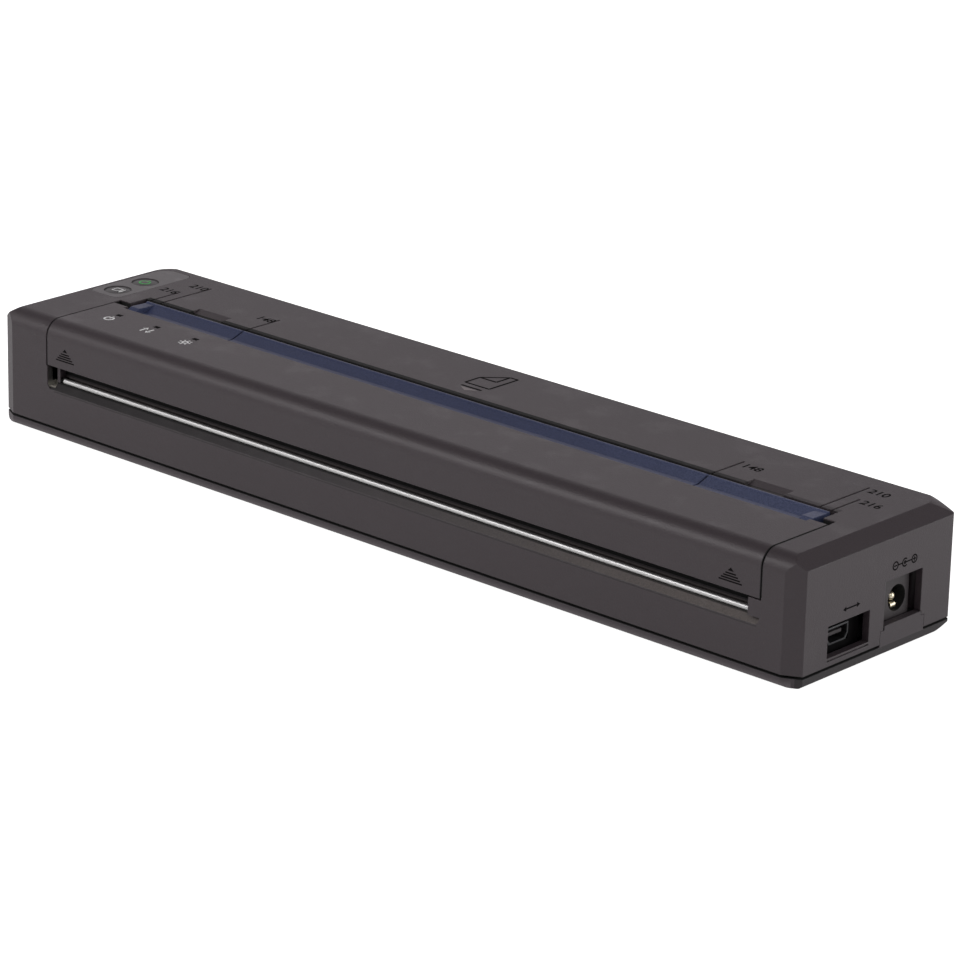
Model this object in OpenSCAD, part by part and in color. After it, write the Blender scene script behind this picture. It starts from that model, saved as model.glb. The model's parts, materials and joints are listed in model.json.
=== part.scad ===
// A4 portable thermal printer, in millimetres.
// X runs left to right, Y front to back, Z up. The origin is on the table, under the centre of the case.

/* [Case] */
// Overall width, left to right
case_w = 255; // [252:1:262]
// Overall depth, front to back
case_d = 55; // [55:0.5:60]
// Overall height above the table, feet included
case_h = 30; // [29.5:0.25:32]
// Thickness of the side walls
wall = 1.8; // [1.6:0.1:2]
// Thickness of the top wall
top_wall = 1.6; // [1.4:0.1:1.7]
// Thickness of the bottom case's floor
floor_t = 1.5; // [1.3:0.1:1.8]
// Slope that cuts off the bottom's rear corners, seen from below
base_corner = 6.2; // [5:0.1:6.4]
// Height of the parting line above the table
part_z = 2.4; // [2.2:0.1:2.8]
// Height of the shadow groove along the parting line
groove_h = 0.55; // [0.4:0.05:0.7]
// Depth of the shadow groove along the parting line
groove_d = 0.8; // [0.5:0.1:1]
// Width of the front corner chamfers, along X
corner_x = 4.3; // [3:0.1:5]
// Depth of the front corner chamfers, along Y
corner_y = 2.25; // [1.5:0.05:3]
// Radius of the rear vertical corners
rear_corner = 0.9; // [0.6:0.1:1.4]
// Radius of the rear corners at the top face
top_corner = 5.7; // [5:0.1:6.4]
// Width of the chamfer along the top of each end, along X
end_edge_x = 3.8; // [2.5:0.1:4.5]
// Height of the chamfer along the top of each end
end_edge_z = 2.75; // [2:0.05:3]
// Radius of the long front top edge
front_edge_r = 4.3; // [3:0.1:5]
// Radius of the long rear top edge
rear_edge_r = 0.8; // [0.6:0.1:1.2]
// Radius of the bottom edge
base_edge = 1; // [0.6:0.1:1.2]
// Thickness of the lip that stands inside the upper case
lip_t = 1.3; // [1:0.1:1.4]
// Height of that lip above the parting line
lip_h = 1.6; // [1:0.1:2]

/* [Clearances] */
// Seam between the release cover and the case
seam = 0.35; // [0.3:0.05:0.45]
// Clearance of a part that drops into its pocket
fit_gap = 0.1; // [0.05:0.05:0.2]
// Radial clearance of shafts and pins that turn
run_gap = 0.05; // [0.02:0.01:0.08]
// Clearance between parts that move past each other
move_gap = 0.3; // [0.3:0.05:0.4]

/* [Release cover] */
// Distance from the case's left end to the release cover
cover_left = 17.2; // [17:0.1:18.5]
// Distance from the case's right end to the release cover
cover_right = 10.8; // [10.5:0.1:12]
// Height of the release cover's front face
cover_drop = 11.3; // [10.8:0.1:11.6]
// Distance from the front of the case to the cover's rear edge
cover_depth = 23.1; // [22.5:0.1:23.3]
// Distance from the cover's rear edge to its hinge axis
hinge_back = 0.2; // [0:0.05:0.4]
// Depth of the hinge axis below the top face
hinge_drop = 2.4; // [2.2:0.05:2.6]
// Diameter of the hinge pins
hinge_pin_d = 1.6; // [1.4:0.1:1.8]
// Length of the hinge pins
hinge_pin_l = 5.4; // [5.2:0.1:5.8]
// Wall of the hinge lug round its pin
lug_wall = 0.95; // [0.8:0.05:1]
// Width of the hinge lugs
lug_w = 3; // [2.5:0.1:3.5]
// Notch behind the cover's rear edge, where the hinge shows
notch_d = 2.2; // [2:0.05:2.4]

/* [Paper path] */
// Distance from the cover's ends to the paper guide
guide_inset = 5; // [4.5:0.1:6]
// Distance from the cover's ends to the ends of the entry slot
slot_inset = 3.2; // [3:0.1:4]
// Distance from the cover's rear edge to the rear wall of the entry slot
slot_d = 7.7; // [7.5:0.05:8]
// Gap between the guide's ridge and the rear wall of the slot
slot_gap = 0.8; // [0.7:0.05:1]
// How far the guide's front edge lies ahead of the cover's rear edge
guide_front = 1.9; // [1.5:0.1:2.2]
// Thickness of the guide's wall
guide_t = 1.2; // [1:0.1:1.4]
// How far the guide's face dips below the top
guide_dip = 1.4; // [1.3:0.05:1.5]
// Width of the raised rib at each end of the guide
guide_rib = 3; // [2:0.1:4]
// How far the guide's front edge lies below the top
guide_lip = 1.2; // [0.9:0.05:1.3]
// Distance from the paper's middle to the shallow scoops behind the slot
scoop_at = 89.1; // [87:0.1:92]
// Width of those scoops
scoop_w = 11.2; // [9:0.1:14]
// Length of those scoops, front to back
scoop_l = 3.8; // [3:0.1:5]
// Depth of those scoops at the slot
scoop_t = 0.7; // [0.4:0.05:0.8]
// Width of the lines that mark the paper's width
mark_w = 0.55; // [0.4:0.05:0.7]
// Depth of those lines
mark_t = 0.4; // [0.2:0.05:0.5]
// Radius of the chute's outer bend
chute_r = 5.6; // [5.2:0.1:5.8]
// Thickness of the lower guide's walls
chute_t = 1.5; // [1.3:0.1:1.7]
// Height of the exit slot, from the paper to the cover's lip
exit_gap = 1.5; // [1.3:0.05:1.7]
// How far the platen stands above the bed
platen_rise = 0.3; // [0.2:0.05:0.4]
// Height of the ribs on the bed
bed_rib_h = 0.25; // [0.15:0.05:0.3]
// Spacing of the ribs on the bed
bed_rib_pitch = 8; // [6:0.5:12]

/* [Exit] */
// Depth of the hollow in the front face under the exit slot
hollow_d = 1.4; // [1:0.1:1.5]
// Height of that hollow's slope
hollow_h = 1.95; // [1.6:0.05:2.2]
// Radius of that hollow's lower corners
hollow_r = 2; // [1:0.1:2.4]
// Radius of the tear bar's rounded front
bar_r = 0.65; // [0.5:0.05:0.7]
// Height of the tear bar's axis below the cover's lip
bar_drop = 3.8; // [3.6:0.05:4]
// Width of the tear bar, front to back
bar_d = 1.45; // [1.4:0.05:1.7]

/* [Platen and drive] */
// Diameter of the platen's rubber
platen_d = 10; // [9.6:0.1:10.2]
// Distance from the cover's ends to the platen's rubber
platen_inset = 5; // [4.5:0.1:6]
// Diameter of the platen's steel core
core_d = 6; // [5:0.1:6.5]
// Distance from the front of the case to the platen's axis
platen_front = 19.5; // [19.1:0.1:19.7]
// Diameter of the platen's journals
journal_d = 4; // [3.5:0.1:4.2]
// Wall of the platen's bushes
bush_wall = 1.4; // [1.2:0.1:1.5]
// Distance from the cover's ends to the side frames
frame_inset = 2.8; // [2.5:0.1:3]
// Thickness of the side frames
frame_t = 1; // [0.8:0.1:1.2]
// Gear module
gear_m = 0.5; // [0.49:0.005:0.505]
// Width of the gears
gear_w = 3; // [2.6:0.1:3.1]
// Teeth of the platen gear
platen_teeth = 22; // [21:1:22]
// Teeth of the small wheel of the reduction gear
small_teeth = 14; // [13:1:14]
// Teeth of the large wheel of the reduction gear
large_teeth = 36; // [34:1:36]
// Teeth of the motor's pinion
pinion_teeth = 12; // [11:1:13]
// Backlash taken off each tooth
backlash = 0.06; // [0.05:0.01:0.08]
// Diameter of the reduction gear's stud
stud_d = 3; // [2.5:0.1:3.2]
// Diameter of the motor
motor_d = 15; // [14:0.1:15.2]
// Length of the motor
motor_l = 12; // [10:0.5:14]
// Diameter of the motor's shaft
motor_shaft_d = 2; // [1.5:0.1:2.2]

/* [Print head] */
// Distance from the cover's ends to the print head
head_inset = 5.5; // [5:0.1:6.5]
// Depth of the print head, front to back
head_d = 9; // [8:0.1:9.5]
// Thickness of the head's ceramic plate
head_t = 0.8; // [0.6:0.05:1]
// Space left for the paper between head and platen
paper_gap = 0.3; // [0.3:0.02:0.36]
// Height of the head's bracket
bracket_h = 3.2; // [2.8:0.1:3.6]
// Wall of the head's bracket
bracket_t = 1.2; // [1:0.1:1.4]
// Outside diameter of the head springs
spring_d = 4.4; // [4:0.1:4.6]
// Wire diameter of the head springs
spring_wire = 0.6; // [0.5:0.05:0.7]
// Distance from the head's ends to its bolts
bolt_inset = 38; // [33:1:40]

/* [Control panel] */
// Width of the control panel
panel_w = 10.5; // [10:0.1:11]
// Length of the control panel, front to back
panel_l = 27; // [25:0.5:27.5]
// Thickness of the control panel
panel_t = 0.8; // [0.6:0.05:0.9]
// Radius of the panel's rear left corner
panel_corner = 4.5; // [3.5:0.1:5]
// Diameter of the holes for the keys
key_d = 7; // [6:0.1:7.4]
// Clearance round each key
key_gap = 0.15; // [0.12:0.01:0.2]
// Distance from the panel's front edge to the feed key
key_inset = 5.4; // [5:0.1:6]
// Distance between the keys
key_pitch = 9.5; // [8.5:0.1:10]
// Travel of the keys
key_travel = 0.5; // [0.4:0.05:0.6]
// Spacing of the three signal lights
light_pitch = 13.55; // [12:0.05:14]
// Width of the signal lights
light_w = 1.8; // [1.4:0.1:2.2]
// Length of the signal lights, front to back
light_l = 1.3; // [1:0.1:1.6]

/* [Sockets] */
// Distance from the front of the case to the data socket
usb_front = 17.85; // [17:0.05:18.5]
// Distance from the rear of the case to the power socket
jack_rear = 16.8; // [16:0.1:17.5]
// Width of the data socket's opening
usb_open_w = 14.7; // [13:0.1:15]
// Height of the data socket's opening
usb_open_h = 7.5; // [7:0.1:8]
// Width of the data socket's shell
usb_w = 7.6; // [7:0.1:8]
// Height of the data socket's shell
usb_h = 4; // [3.5:0.1:4.2]
// Diameter of the power socket's hole
jack_hole_d = 6.2; // [6:0.1:6.4]
// Diameter of the power socket's centre pin
jack_pin_d = 2.1; // [1.6:0.1:2.5]
// Width of the power socket's side contact
contact_w = 1.8; // [1.4:0.1:2]
// Width of the power socket's body
jack_w = 8.6; // [8:0.1:9]
// Thickness of the circuit boards
board_t = 1.2; // [1:0.1:1.4]

/* [Battery] */
// Distance from the motor to the battery
battery_left = 9.5; // [8:0.5:14]
// Distance from the battery to the right side frame
battery_right = 3.9; // [3.8:0.1:6]
// Height left between the battery and the main board
battery_top = 2.9; // [1.5:0.1:4]
// Width of the door's seat beyond the opening
door_seat = 1.2; // [1:0.1:1.3]

/* [Feet and screws] */
// Height of the rubber feet below the bottom case
foot_h = 0.2; // [0.2:0.05:0.5]
// Diameter of the rubber feet
foot_d = 8; // [6:0.5:9]
// Distance from the ends of the case to the front feet
foot_side = 19; // [15:0.5:24]
// Distance from the front of the case to the front feet
foot_front = 8; // [7:0.5:9]
// Distance from the rear of the case to the left rear foot
foot_rear = 9; // [8.5:0.5:12]
// Distance from the ends and the rear of the case to the screws
screw_inset = 6; // [5.5:0.1:6.5]
// Diameter of the case screws' threads
screw_d = 2; // [1.7:0.1:2.3]
// Diameter of the case screws' heads
screw_head_d = 3.8; // [3.4:0.1:4]

/* [Hidden] */
$fn = 48;
tiny = 0.01;

// Case faces
half_w = case_w / 2;
front_y = -case_d / 2;
rear_y = case_d / 2;
top_z = case_h;
under_top = case_h - top_wall;
floor_z = foot_h + floor_t;

// Release cover
path_x = (cover_left - cover_right) / 2;
cover_x0 = -half_w + cover_left;
cover_x1 = half_w - cover_right;
cover_y1 = front_y + cover_depth;
lip_z = top_z - cover_drop;
hinge_y = cover_y1 + hinge_back;
hinge_z = top_z - hinge_drop;
lug_r = hinge_pin_d / 2 + run_gap + lug_wall;
notch_y1 = cover_y1 + notch_d;
tower_t = 1.5;
tower_z0 = lip_z + 0.6;
cover_back_r = 0.6;
least_r = 0.4;

// Paper path
slot_y1 = cover_y1 + slot_d;
path_z = lip_z - exit_gap;
bed_z = path_z - platen_rise;
chute_y = slot_y1 - chute_r;
chute_z = bed_z + chute_r;
guide_x0 = cover_x0 + guide_inset;
guide_x1 = cover_x1 - guide_inset;
slot_x0 = cover_x0 + slot_inset;
slot_x1 = cover_x1 - slot_inset;
guide_y0 = cover_y1 - guide_front;
guide_y1 = slot_y1 - slot_gap;
guide_seat_z = top_z - 2.2;
guide_fall = 4.5;
width_mark_x = [74.3, 105.1, 108.4];
ledge_t = 1.2;

// Platen
platen_r = platen_d / 2;
platen_y = front_y + platen_front;
platen_x0 = cover_x0 + platen_inset;
platen_x1 = cover_x1 - platen_inset;
platen_z = path_z - platen_r;
trough_r = platen_r + 0.5;
frame_x0 = cover_x0 + frame_inset;
frame_x1 = cover_x1 - frame_inset;
journal_r = journal_d / 2;
bush_r = journal_r + run_gap + bush_wall;
bush_flange_r = bush_r + 0.8;
bush_flange_t = 0.8;

// Tear bar
bar_y = front_y + hollow_d + bar_r;
bar_z = lip_z - bar_drop;
bar_y1 = bar_y + bar_d;
ledge_z = bar_z - bar_r;
post_w = 1;
pocket_d = 2.6;

// Gear train
spur_x1 = frame_x0 - frame_t - 0.7;
spur_x0 = spur_x1 - gear_w;
wheel_x1 = spur_x0 - 0.5;
wheel_x0 = wheel_x1 - gear_w;
stage1 = gear_m * (platen_teeth + small_teeth) / 2;
stage2 = gear_m * (large_teeth + pinion_teeth) / 2;
guide_back = slot_y1 + chute_t;
motor_y = guide_back + 0.4 + motor_d / 2;
motor_z = platen_z + 0.6;
span_m = norm([motor_y - platen_y, motor_z - platen_z]);
line_a = atan2(motor_z - platen_z, motor_y - platen_y);
stage_a = acos((stage1 * stage1 + span_m * span_m - stage2 * stage2) / (2 * stage1 * span_m));
wheel_a = line_a + stage_a;
wheel_y = platen_y + stage1 * cos(wheel_a);
wheel_z = platen_z + stage1 * sin(wheel_a);
pinion_a = atan2(motor_z - wheel_z, motor_y - wheel_y);
motor_screw_r = 5;

// Head
head_z = path_z + paper_gap;
bracket_z = head_z + head_t;
bracket_top = bracket_z + bracket_h;
head_y1 = platen_y + 3.4;
head_y0 = head_y1 - head_d;
head_x0 = cover_x0 + head_inset;
head_x1 = cover_x1 - head_inset;
spring_y = guide_y0 - 2 - spring_d / 2 - 0.2;
head_bolt_x = [head_x0 + bolt_inset, head_x1 - bolt_inset];
spring_pitch = (head_bolt_x[1] - head_bolt_x[0]) / 3.5;
spring_x = [for (k = [-1.5 : 1 : 1.5]) path_x + k * spring_pitch];
shelf_t = 1;
led_y = cover_y1 - 7;
led_x = [for (k = [0 : 2]) cover_x0 + 9 + k * light_pitch];
led_a = [light_w / 2, light_l / 2];

// Control panel
panel_x0 = -half_w + 4.5;
panel_y1 = rear_y - 2.5;
panel_y0 = panel_y1 - panel_l;
panel_cx = panel_x0 + panel_w / 2;
feed_y = panel_y0 + key_inset;
power_y = feed_y + key_pitch;
key_board_z = top_z - 5.6;
switch_h = 1.6;
key_stem = 2.6;
key_post_r = 1.1;
key_post_y = [panel_y0 + 0.5, feed_y + key_pitch / 2];

// Sockets
side_in = half_w - wall;
usb_y = front_y + usb_front;
usb_z0 = part_z + 2.5;
usb_face_x = half_w - 3;
sill_t = 0.4;
usb_l = 7;
socket_board_z = part_z + 2.4;
socket_top = socket_board_z + board_t;
jack_y = rear_y - jack_rear;
jack_open_y0 = jack_y - jack_w / 2 - 3.5;
jack_open_y1 = jack_y + jack_w / 2 + 1.3;
jack_face_x = half_w - 2.6;
jack_z = part_z + 8.7;
jack_l = 10;
jack_back = 1.2;
jack_h = 11.4;
tab_y0 = jack_open_y0 - 1;
tab_y1 = jack_open_y1 + 1.4;
tab_h = 4.6;
jack_top = tab_h + part_z + 10.4;

// Battery bay
bay_gap = 0.2;
bay_wall = 1.2;
battery_y0 = guide_back + bay_wall + 0.5;
battery_y1 = rear_y - wall - fit_gap - lip_t - bay_gap;
battery_x0 = frame_x0 + motor_l + battery_left;
battery_x1 = frame_x1 - battery_right;
battery_z0 = floor_z + 0.3;
board_inset = 10;
main_board_z = top_z - 6.2;

screw_at = [for (x = [-1, 1], y = [-1, 1]) [x * (half_w - screw_inset), y * (rear_y - screw_inset)]];
foot_at = [[-half_w + foot_side, front_y + foot_front], [half_w - foot_side, front_y + foot_front],
           [frame_x0 + 3, rear_y - foot_rear], [frame_x1 + 4.1, jack_y + 1.8]];
boss_r = 2.4;
screw_l = 6;
frame_foot_w = 5;
frame_y0 = platen_y - 7;
frame_screw_x = [frame_x0 - frame_t - frame_foot_w / 2, frame_x1 + frame_t + frame_foot_w / 2];
frame_screw_y = platen_y - 3;

// ---------------------------------------------------------------- helpers

// A box between two corners
module box(a, b) {
    translate(a) cube(b - a);
}

// Extrudes a side view (Y across, Z up) from x0 to x1
module along_x(x0, x1) {
    translate([x0, 0, 0]) rotate([90, 0, 90]) linear_extrude(x1 - x0) children();
}

// Extrudes a front view (X across, Z up) from y0 to y1
module along_y(y0, y1) {
    translate([0, y1, 0]) rotate([90, 0, 0]) linear_extrude(y1 - y0) children();
}

// A rod along X
module rod_x(x0, x1, y, z, r) {
    translate([x0, y, z]) rotate([0, 90, 0]) cylinder(r = r, h = x1 - x0);
}

// An upright rod
module rod_z(x, y, z0, z1, r) {
    translate([x, y, z0]) cylinder(r = r, h = z1 - z0);
}

module square_between(a, b) {
    translate(a) square(b - a);
}

// A rectangle with four round corners
module soft_rect(a, b, r) {
    translate([a.x + r, a.y]) square([b.x - a.x - 2 * r, b.y - a.y]);
    translate([a.x, a.y + r]) square([b.x - a.x, b.y - a.y - 2 * r]);
    for (x = [a.x + r, b.x - r], y = [a.y + r, b.y - r]) translate([x, y]) circle(r);
}

// ---------------------------------------------------------------- case shape

// The case seen from above, drawn in by i
module case_plan(i) {
    w = half_w - i;
    f = front_y + i;
    b = rear_y - i;
    polygon([[-w + corner_x, f], [w - corner_x, f], [w, f + corner_y], [w, b - rear_corner],
             [w - rear_corner, b - rear_corner], [w - rear_corner, b], [-w + rear_corner, b],
             [-w + rear_corner, b - rear_corner], [-w, b - rear_corner], [-w, f + corner_y]]);
    for (s = [-1, 1]) translate([s * (w - rear_corner), b - rear_corner]) circle(rear_corner);
}

// The case seen from its end above z0, drawn in by i and lowered by t
module case_side(z0, i, t) {
    f = front_y + i;
    b = rear_y - i;
    top = top_z - t;
    fr = front_edge_r - t;
    rr = max(rear_edge_r - t, least_r);
    translate([f, z0]) square([b - f, top - max(fr, rr) - z0]);
    translate([f + fr, z0]) square([b - f - fr - rr, top - z0]);
    translate([b - 2 * rr, z0]) square([2 * rr, top - rr - z0]);
    translate([f + fr, top - fr]) circle(fr);
    translate([b - rr, top - rr]) circle(rr);
}

// The case seen from the front above z0, drawn in by i and lowered by t
module case_end(z0, i, t) {
    w = half_w - i;
    top = top_z - t;
    polygon([[-w, z0], [w, z0], [w, top - end_edge_z], [w - end_edge_x, top],
             [-w + end_edge_x, top], [-w, top - end_edge_z]]);
}

// What a cone takes off a rear corner of the top, on side s, so that the vertical edge stays sharp
module top_corner_cut(s) {
    reach = top_corner + end_edge_x;
    fall = end_edge_z;
    slope = (norm([reach, top_corner]) - top_corner) / fall;
    difference() {
        translate([s * (half_w - reach / 2 + 0.5), rear_y - top_corner / 2 + 0.5, top_z - fall / 2 + 0.5])
            cube([reach + 1, top_corner + 1, fall + 1], center = true);
        translate([s * (half_w - reach), rear_y - top_corner, top_z - fall - 1])
            cylinder(r1 = top_corner + slope * (fall + 1), r2 = top_corner - slope, h = fall + 2);
    }
}

// The closed shape of the case above z0, drawn in by i and lowered by t
module case_block(z0, i, t) {
    intersection() {
        translate([0, 0, z0]) linear_extrude(top_z) case_plan(i);
        along_x(-half_w, half_w) case_side(z0, i, t);
        along_y(front_y, rear_y) case_end(z0, i, t);
    }
}

// ---------------------------------------------------------------- case

module end_tower(x0) {
    box([x0, front_y + wall / 2, tower_z0], [x0 + tower_t, guide_back, under_top + tiny]);
}

module upper_shell() {
    difference() {
        case_block(part_z, 0, 0);
        case_block(part_z - 1, wall, top_wall);
        for (s = [-1, 1]) top_corner_cut(s);
        // shadow groove
        difference() {
            box([-half_w - 1, front_y - 1, part_z - 1], [half_w + 1, rear_y + 1, part_z + groove_h]);
            translate([0, 0, part_z - 2]) linear_extrude(9) case_plan(groove_d);
        }
        // opening for the release cover
        box([cover_x0 - seam, front_y - 1, lip_z - seam], [cover_x1 + seam, notch_y1, top_z + 1]);
        // opening for the paper exit
        box([cover_x0, front_y - 1, ledge_z], [slot_x1, notch_y1, lip_z]);
        // paper entry slot
        box([slot_x0, notch_y1 - 1, under_top - 1], [slot_x1, slot_y1, top_z + 1]);
    }
}

// Thicker ledge behind the hollow of the front face
module front_ledge() {
    box([cover_x0 - seam - 2, front_y + 1, ledge_z - hollow_h],
        [cover_x1 + seam + 2, bar_y + 1.2, ledge_z]);
}

module front_hollow() {
    intersection() {
        along_x(cover_x0, cover_x1)
            polygon([[front_y - 1, ledge_z - hollow_h - 0.1], [front_y, ledge_z - hollow_h],
                     [front_y + hollow_d, ledge_z - 0.2], [front_y + hollow_d, top_z],
                     [front_y - 1, top_z]]);
        along_y(front_y - 2, front_y + 2) difference() {
            soft_rect([cover_x0, ledge_z - hollow_h - 0.1], [cover_x1, top_z + hollow_r], hollow_r);
            square_between([slot_x1, ledge_z], [cover_x1 + 1, top_z + 2 * hollow_r]);
        }
    }
    // deeper pocket beside the left end of the exit
    along_y(front_y - 1, front_y + pocket_d)
        soft_rect([cover_x0, ledge_z - hollow_h / 2], [slot_x0 - post_w, lip_z], least_r);
}

// Shallow scoop in the top behind the entry slot, beside x
module slot_scoop(x) {
    along_x(x - scoop_w / 2, x + scoop_w / 2)
        polygon([[slot_y1 - 1, top_z - scoop_t], [slot_y1 + 1, top_z - scoop_t],
                 [slot_y1 + scoop_l, top_z], [slot_y1 + scoop_l, top_z + 1], [slot_y1 - 1, top_z + 1]]);
}

module width_mark(x, y0, y1) {
    box([x - mark_w / 2, y0, top_z - mark_t], [x + mark_w / 2, y1, top_z + 1]);
}

module upper_case() color("#3c3a3c") {
    difference() {
        union() {
            upper_shell();
            end_tower(cover_x0 - seam - tower_t);
            end_tower(cover_x1 + seam);
            front_ledge();
            for (x = [slot_x0 - post_w, slot_x1])
                box([x, front_y + hollow_d, ledge_z - 1],
                    [x + post_w, front_y + hollow_d + 2, lip_z - seam]);
            for (p = screw_at) rod_z(p.x, p.y, floor_z, under_top + 0.8, boss_r);
            for (y = key_post_y)
                rod_z(panel_cx, y, key_board_z + board_t, under_top + tiny, key_post_r);
            for (x = [battery_x0 + 2 * board_inset, path_x, battery_x1 - 2 * board_inset])
                rod_z(x, battery_y0 + 1.5, main_board_z + board_t, under_top + tiny, 1.8);
        }
        front_hollow();
        // seat of the control panel
        translate([0, 0, top_z - panel_t]) linear_extrude(2) panel_plan(0);
        for (y = [feed_y, power_y]) rod_z(panel_cx, y, under_top - 1, top_z, key_d / 2 + fit_gap);
        // data socket
        box([half_w - 6, usb_y - usb_open_w / 2, usb_z0],
            [half_w + 1, usb_y + usb_open_w / 2, usb_z0 + usb_open_h]);
        // line under its sill
        box([half_w - sill_t, usb_y - usb_open_w / 2, usb_z0 - 2 * sill_t],
            [half_w + 1, usb_y + usb_open_w / 2, usb_z0 - sill_t]);
        // power socket, and the bottom case's tab under it
        box([half_w - 6, jack_open_y0, part_z + tab_h - 1], [half_w + 1, jack_open_y1, jack_top]);
        box([half_w - 6, tab_y0 - fit_gap, part_z - 1],
            [half_w + 1, tab_y1 + fit_gap, part_z + tab_h - 1 + fit_gap]);
        box([half_w - 6, tab_y0 + 1.4, part_z - 1], [half_w + 1, tab_y1 - 1, part_z + tab_h + fit_gap]);
        for (p = screw_at) rod_z(p.x, p.y, floor_z - 1, floor_z + screw_l + 2, screw_d / 2);
        rod_x(cover_x0 - seam - tower_t - tiny, cover_x0, hinge_y, hinge_z, hinge_pin_d / 2);
        rod_x(cover_x1, cover_x1 + seam + tower_t + tiny, hinge_y, hinge_z, hinge_pin_d / 2);
        for (s = [-1, 1]) slot_scoop(path_x + s * scoop_at);
        // paper width marks
        for (s = [-1, 1]) {
            width_mark(path_x + s * width_mark_x[0], slot_y1 - 1, slot_y1 + 11.4);
            width_mark(path_x + s * width_mark_x[1], slot_y1 - 1, slot_y1 + 17.8);
            width_mark(path_x + s * width_mark_x[2], slot_y1 - 1, slot_y1 + 10);
        }
    }
}

// Cuts off a rear corner of the tray from below, on side s
module corner_cut(s) {
    fall = part_z - foot_h - 0.4;
    translate([s * half_w, rear_y, part_z - 0.4]) mirror([s < 0 ? 1 : 0, 0, 0]) rotate([0, 0, 45])
        rotate([0, -atan2(fall, base_corner / sqrt(2)), 0]) translate([-10, -10, -10]) cube([20, 20, 10]);
}

module bottom_tray() {
    difference() {
        tray_block();
        corner_cut(-1);
        corner_cut(1);
    }
}

module tray_block() {
    intersection() {
        translate([0, 0, foot_h]) linear_extrude(part_z - foot_h) case_plan(0);
        along_x(-half_w, half_w) soft_rect([front_y, foot_h], [rear_y, top_z], base_edge);
        along_y(front_y, rear_y) soft_rect([-half_w, foot_h], [half_w, top_z], base_edge);
    }
}

// A block of the battery's outline, grown by g
module bay_box(g, z0, z1) {
    box([battery_x0 - g, battery_y0 - g, z0], [battery_x1 + g, battery_y1 + g, z1]);
}

module bottom_case() color("#39373a") {
    inner = wall + fit_gap + lip_t;
    difference() {
        union() {
            bottom_tray();
            // lip inside the upper case
            translate([0, 0, foot_h]) linear_extrude(part_z + lip_h - foot_h) case_plan(wall + fit_gap);
            // tab under the power socket
            box([side_in, tab_y0, part_z - 1], [half_w, tab_y1, part_z + tab_h - 1]);
            box([side_in, tab_y0 + 1.5, part_z - 1], [half_w, tab_y1 - 1.1, part_z + tab_h]);
        }
        // inside
        difference() {
            translate([0, 0, floor_z]) linear_extrude(part_z + lip_h) case_plan(inner);
            for (p = screw_at) rod_z(p.x, p.y, 0, part_z + lip_h, boss_r + 1.3);
        }
        // the lip opens behind the sockets and round the screw bosses
        box([side_in - 9, usb_y - usb_open_w / 2 - 1, part_z + 0.6],
            [side_in + 1, usb_y + usb_open_w / 2 + 1, part_z + 9]);
        for (p = screw_at) rod_z(p.x, p.y, floor_z, top_z, boss_r + fit_gap);
        for (p = screw_at) {
            rod_z(p.x, p.y, 0, floor_z + 1, screw_d / 2 + fit_gap);
            rod_z(p.x, p.y, 0, foot_h + 0.8, screw_head_d / 2 + fit_gap);
        }
        for (p = foot_at) rod_z(p.x, p.y, 0, foot_h + 0.6, foot_d / 2);
        for (x = frame_screw_x) rod_z(x, frame_screw_y, floor_z - 1, floor_z + 1, screw_d / 2);
        // battery opening, with the seat of its door
        bay_box(bay_gap, 0, part_z + lip_h + 1);
        bay_box(bay_gap + door_seat, 0, foot_h + floor_t / 2);
    }
    // walls of the battery bay
    difference() {
        box([battery_x0 - bay_gap - bay_wall, battery_y0 - bay_wall, floor_z - tiny],
            [battery_x1, battery_y0, floor_z + 12]);
        for (x = [battery_x0 + 20 : 30 : battery_x1 - 15])
            box([x, battery_y0 - 2, floor_z + 3], [x + 14, battery_y0 + 1, floor_z + 13]);
    }
    box([battery_x0 - bay_gap - bay_wall, battery_y0 - bay_wall, floor_z - tiny],
        [battery_x0 - bay_gap, battery_y1, floor_z + 8]);
    // posts of the socket board
    for (y = [usb_y - usb_w / 2 - 3.5, (usb_y + jack_y) / 2, jack_y + jack_w / 2 + 1.9])
        rod_z(jack_face_x - 6.4, y, floor_z - tiny, socket_board_z, 1.6);
}

// ---------------------------------------------------------------- control panel

// The control panel seen from above, drawn in by i
module panel_plan(i) {
    a = [panel_x0 + i, panel_y0 + i];
    b = [panel_x0 + panel_w - i, panel_y1 - i];
    big = panel_corner - i;
    small = 2.4 - i;
    difference() {
        square_between(a, b);
        square_between(a - [1, 1], a + [small, small]);
        square_between([b.x - small, a.y - 1], [b.x + 1, a.y + small]);
        square_between(b - [small, small], b + [1, 1]);
        square_between([a.x - 1, b.y - big], [a.x + big, b.y + 1]);
    }
    translate(a + [small, small]) circle(small);
    translate([b.x - small, a.y + small]) circle(small);
    translate(b - [small, small]) circle(small);
    translate([a.x + big, b.y - big]) circle(big);
}

module control_panel() color("#6e6b6c") {
    difference() {
        translate([0, 0, top_z - panel_t]) linear_extrude(panel_t) panel_plan(fit_gap);
        for (y = [feed_y, power_y]) rod_z(panel_cx, y, top_z - panel_t - 1, top_z + 1, key_d / 2);
    }
}

// A key with a crowned cap, and a stem that reaches its switch
module panel_key(y) {
    cap_r = key_d / 2 - key_gap;
    crown_r = 24;
    translate([panel_cx, y, 0]) {
        intersection() {
            rod_z(0, 0, under_top - 0.6, top_z, cap_r);
            translate([0, 0, top_z - crown_r]) sphere(crown_r);
        }
        rod_z(0, 0, key_board_z + board_t + switch_h, under_top, key_stem / 2);
    }
}

module power_key() color("#545153") panel_key(power_y);

module feed_key() color("#545153") panel_key(feed_y);

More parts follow.
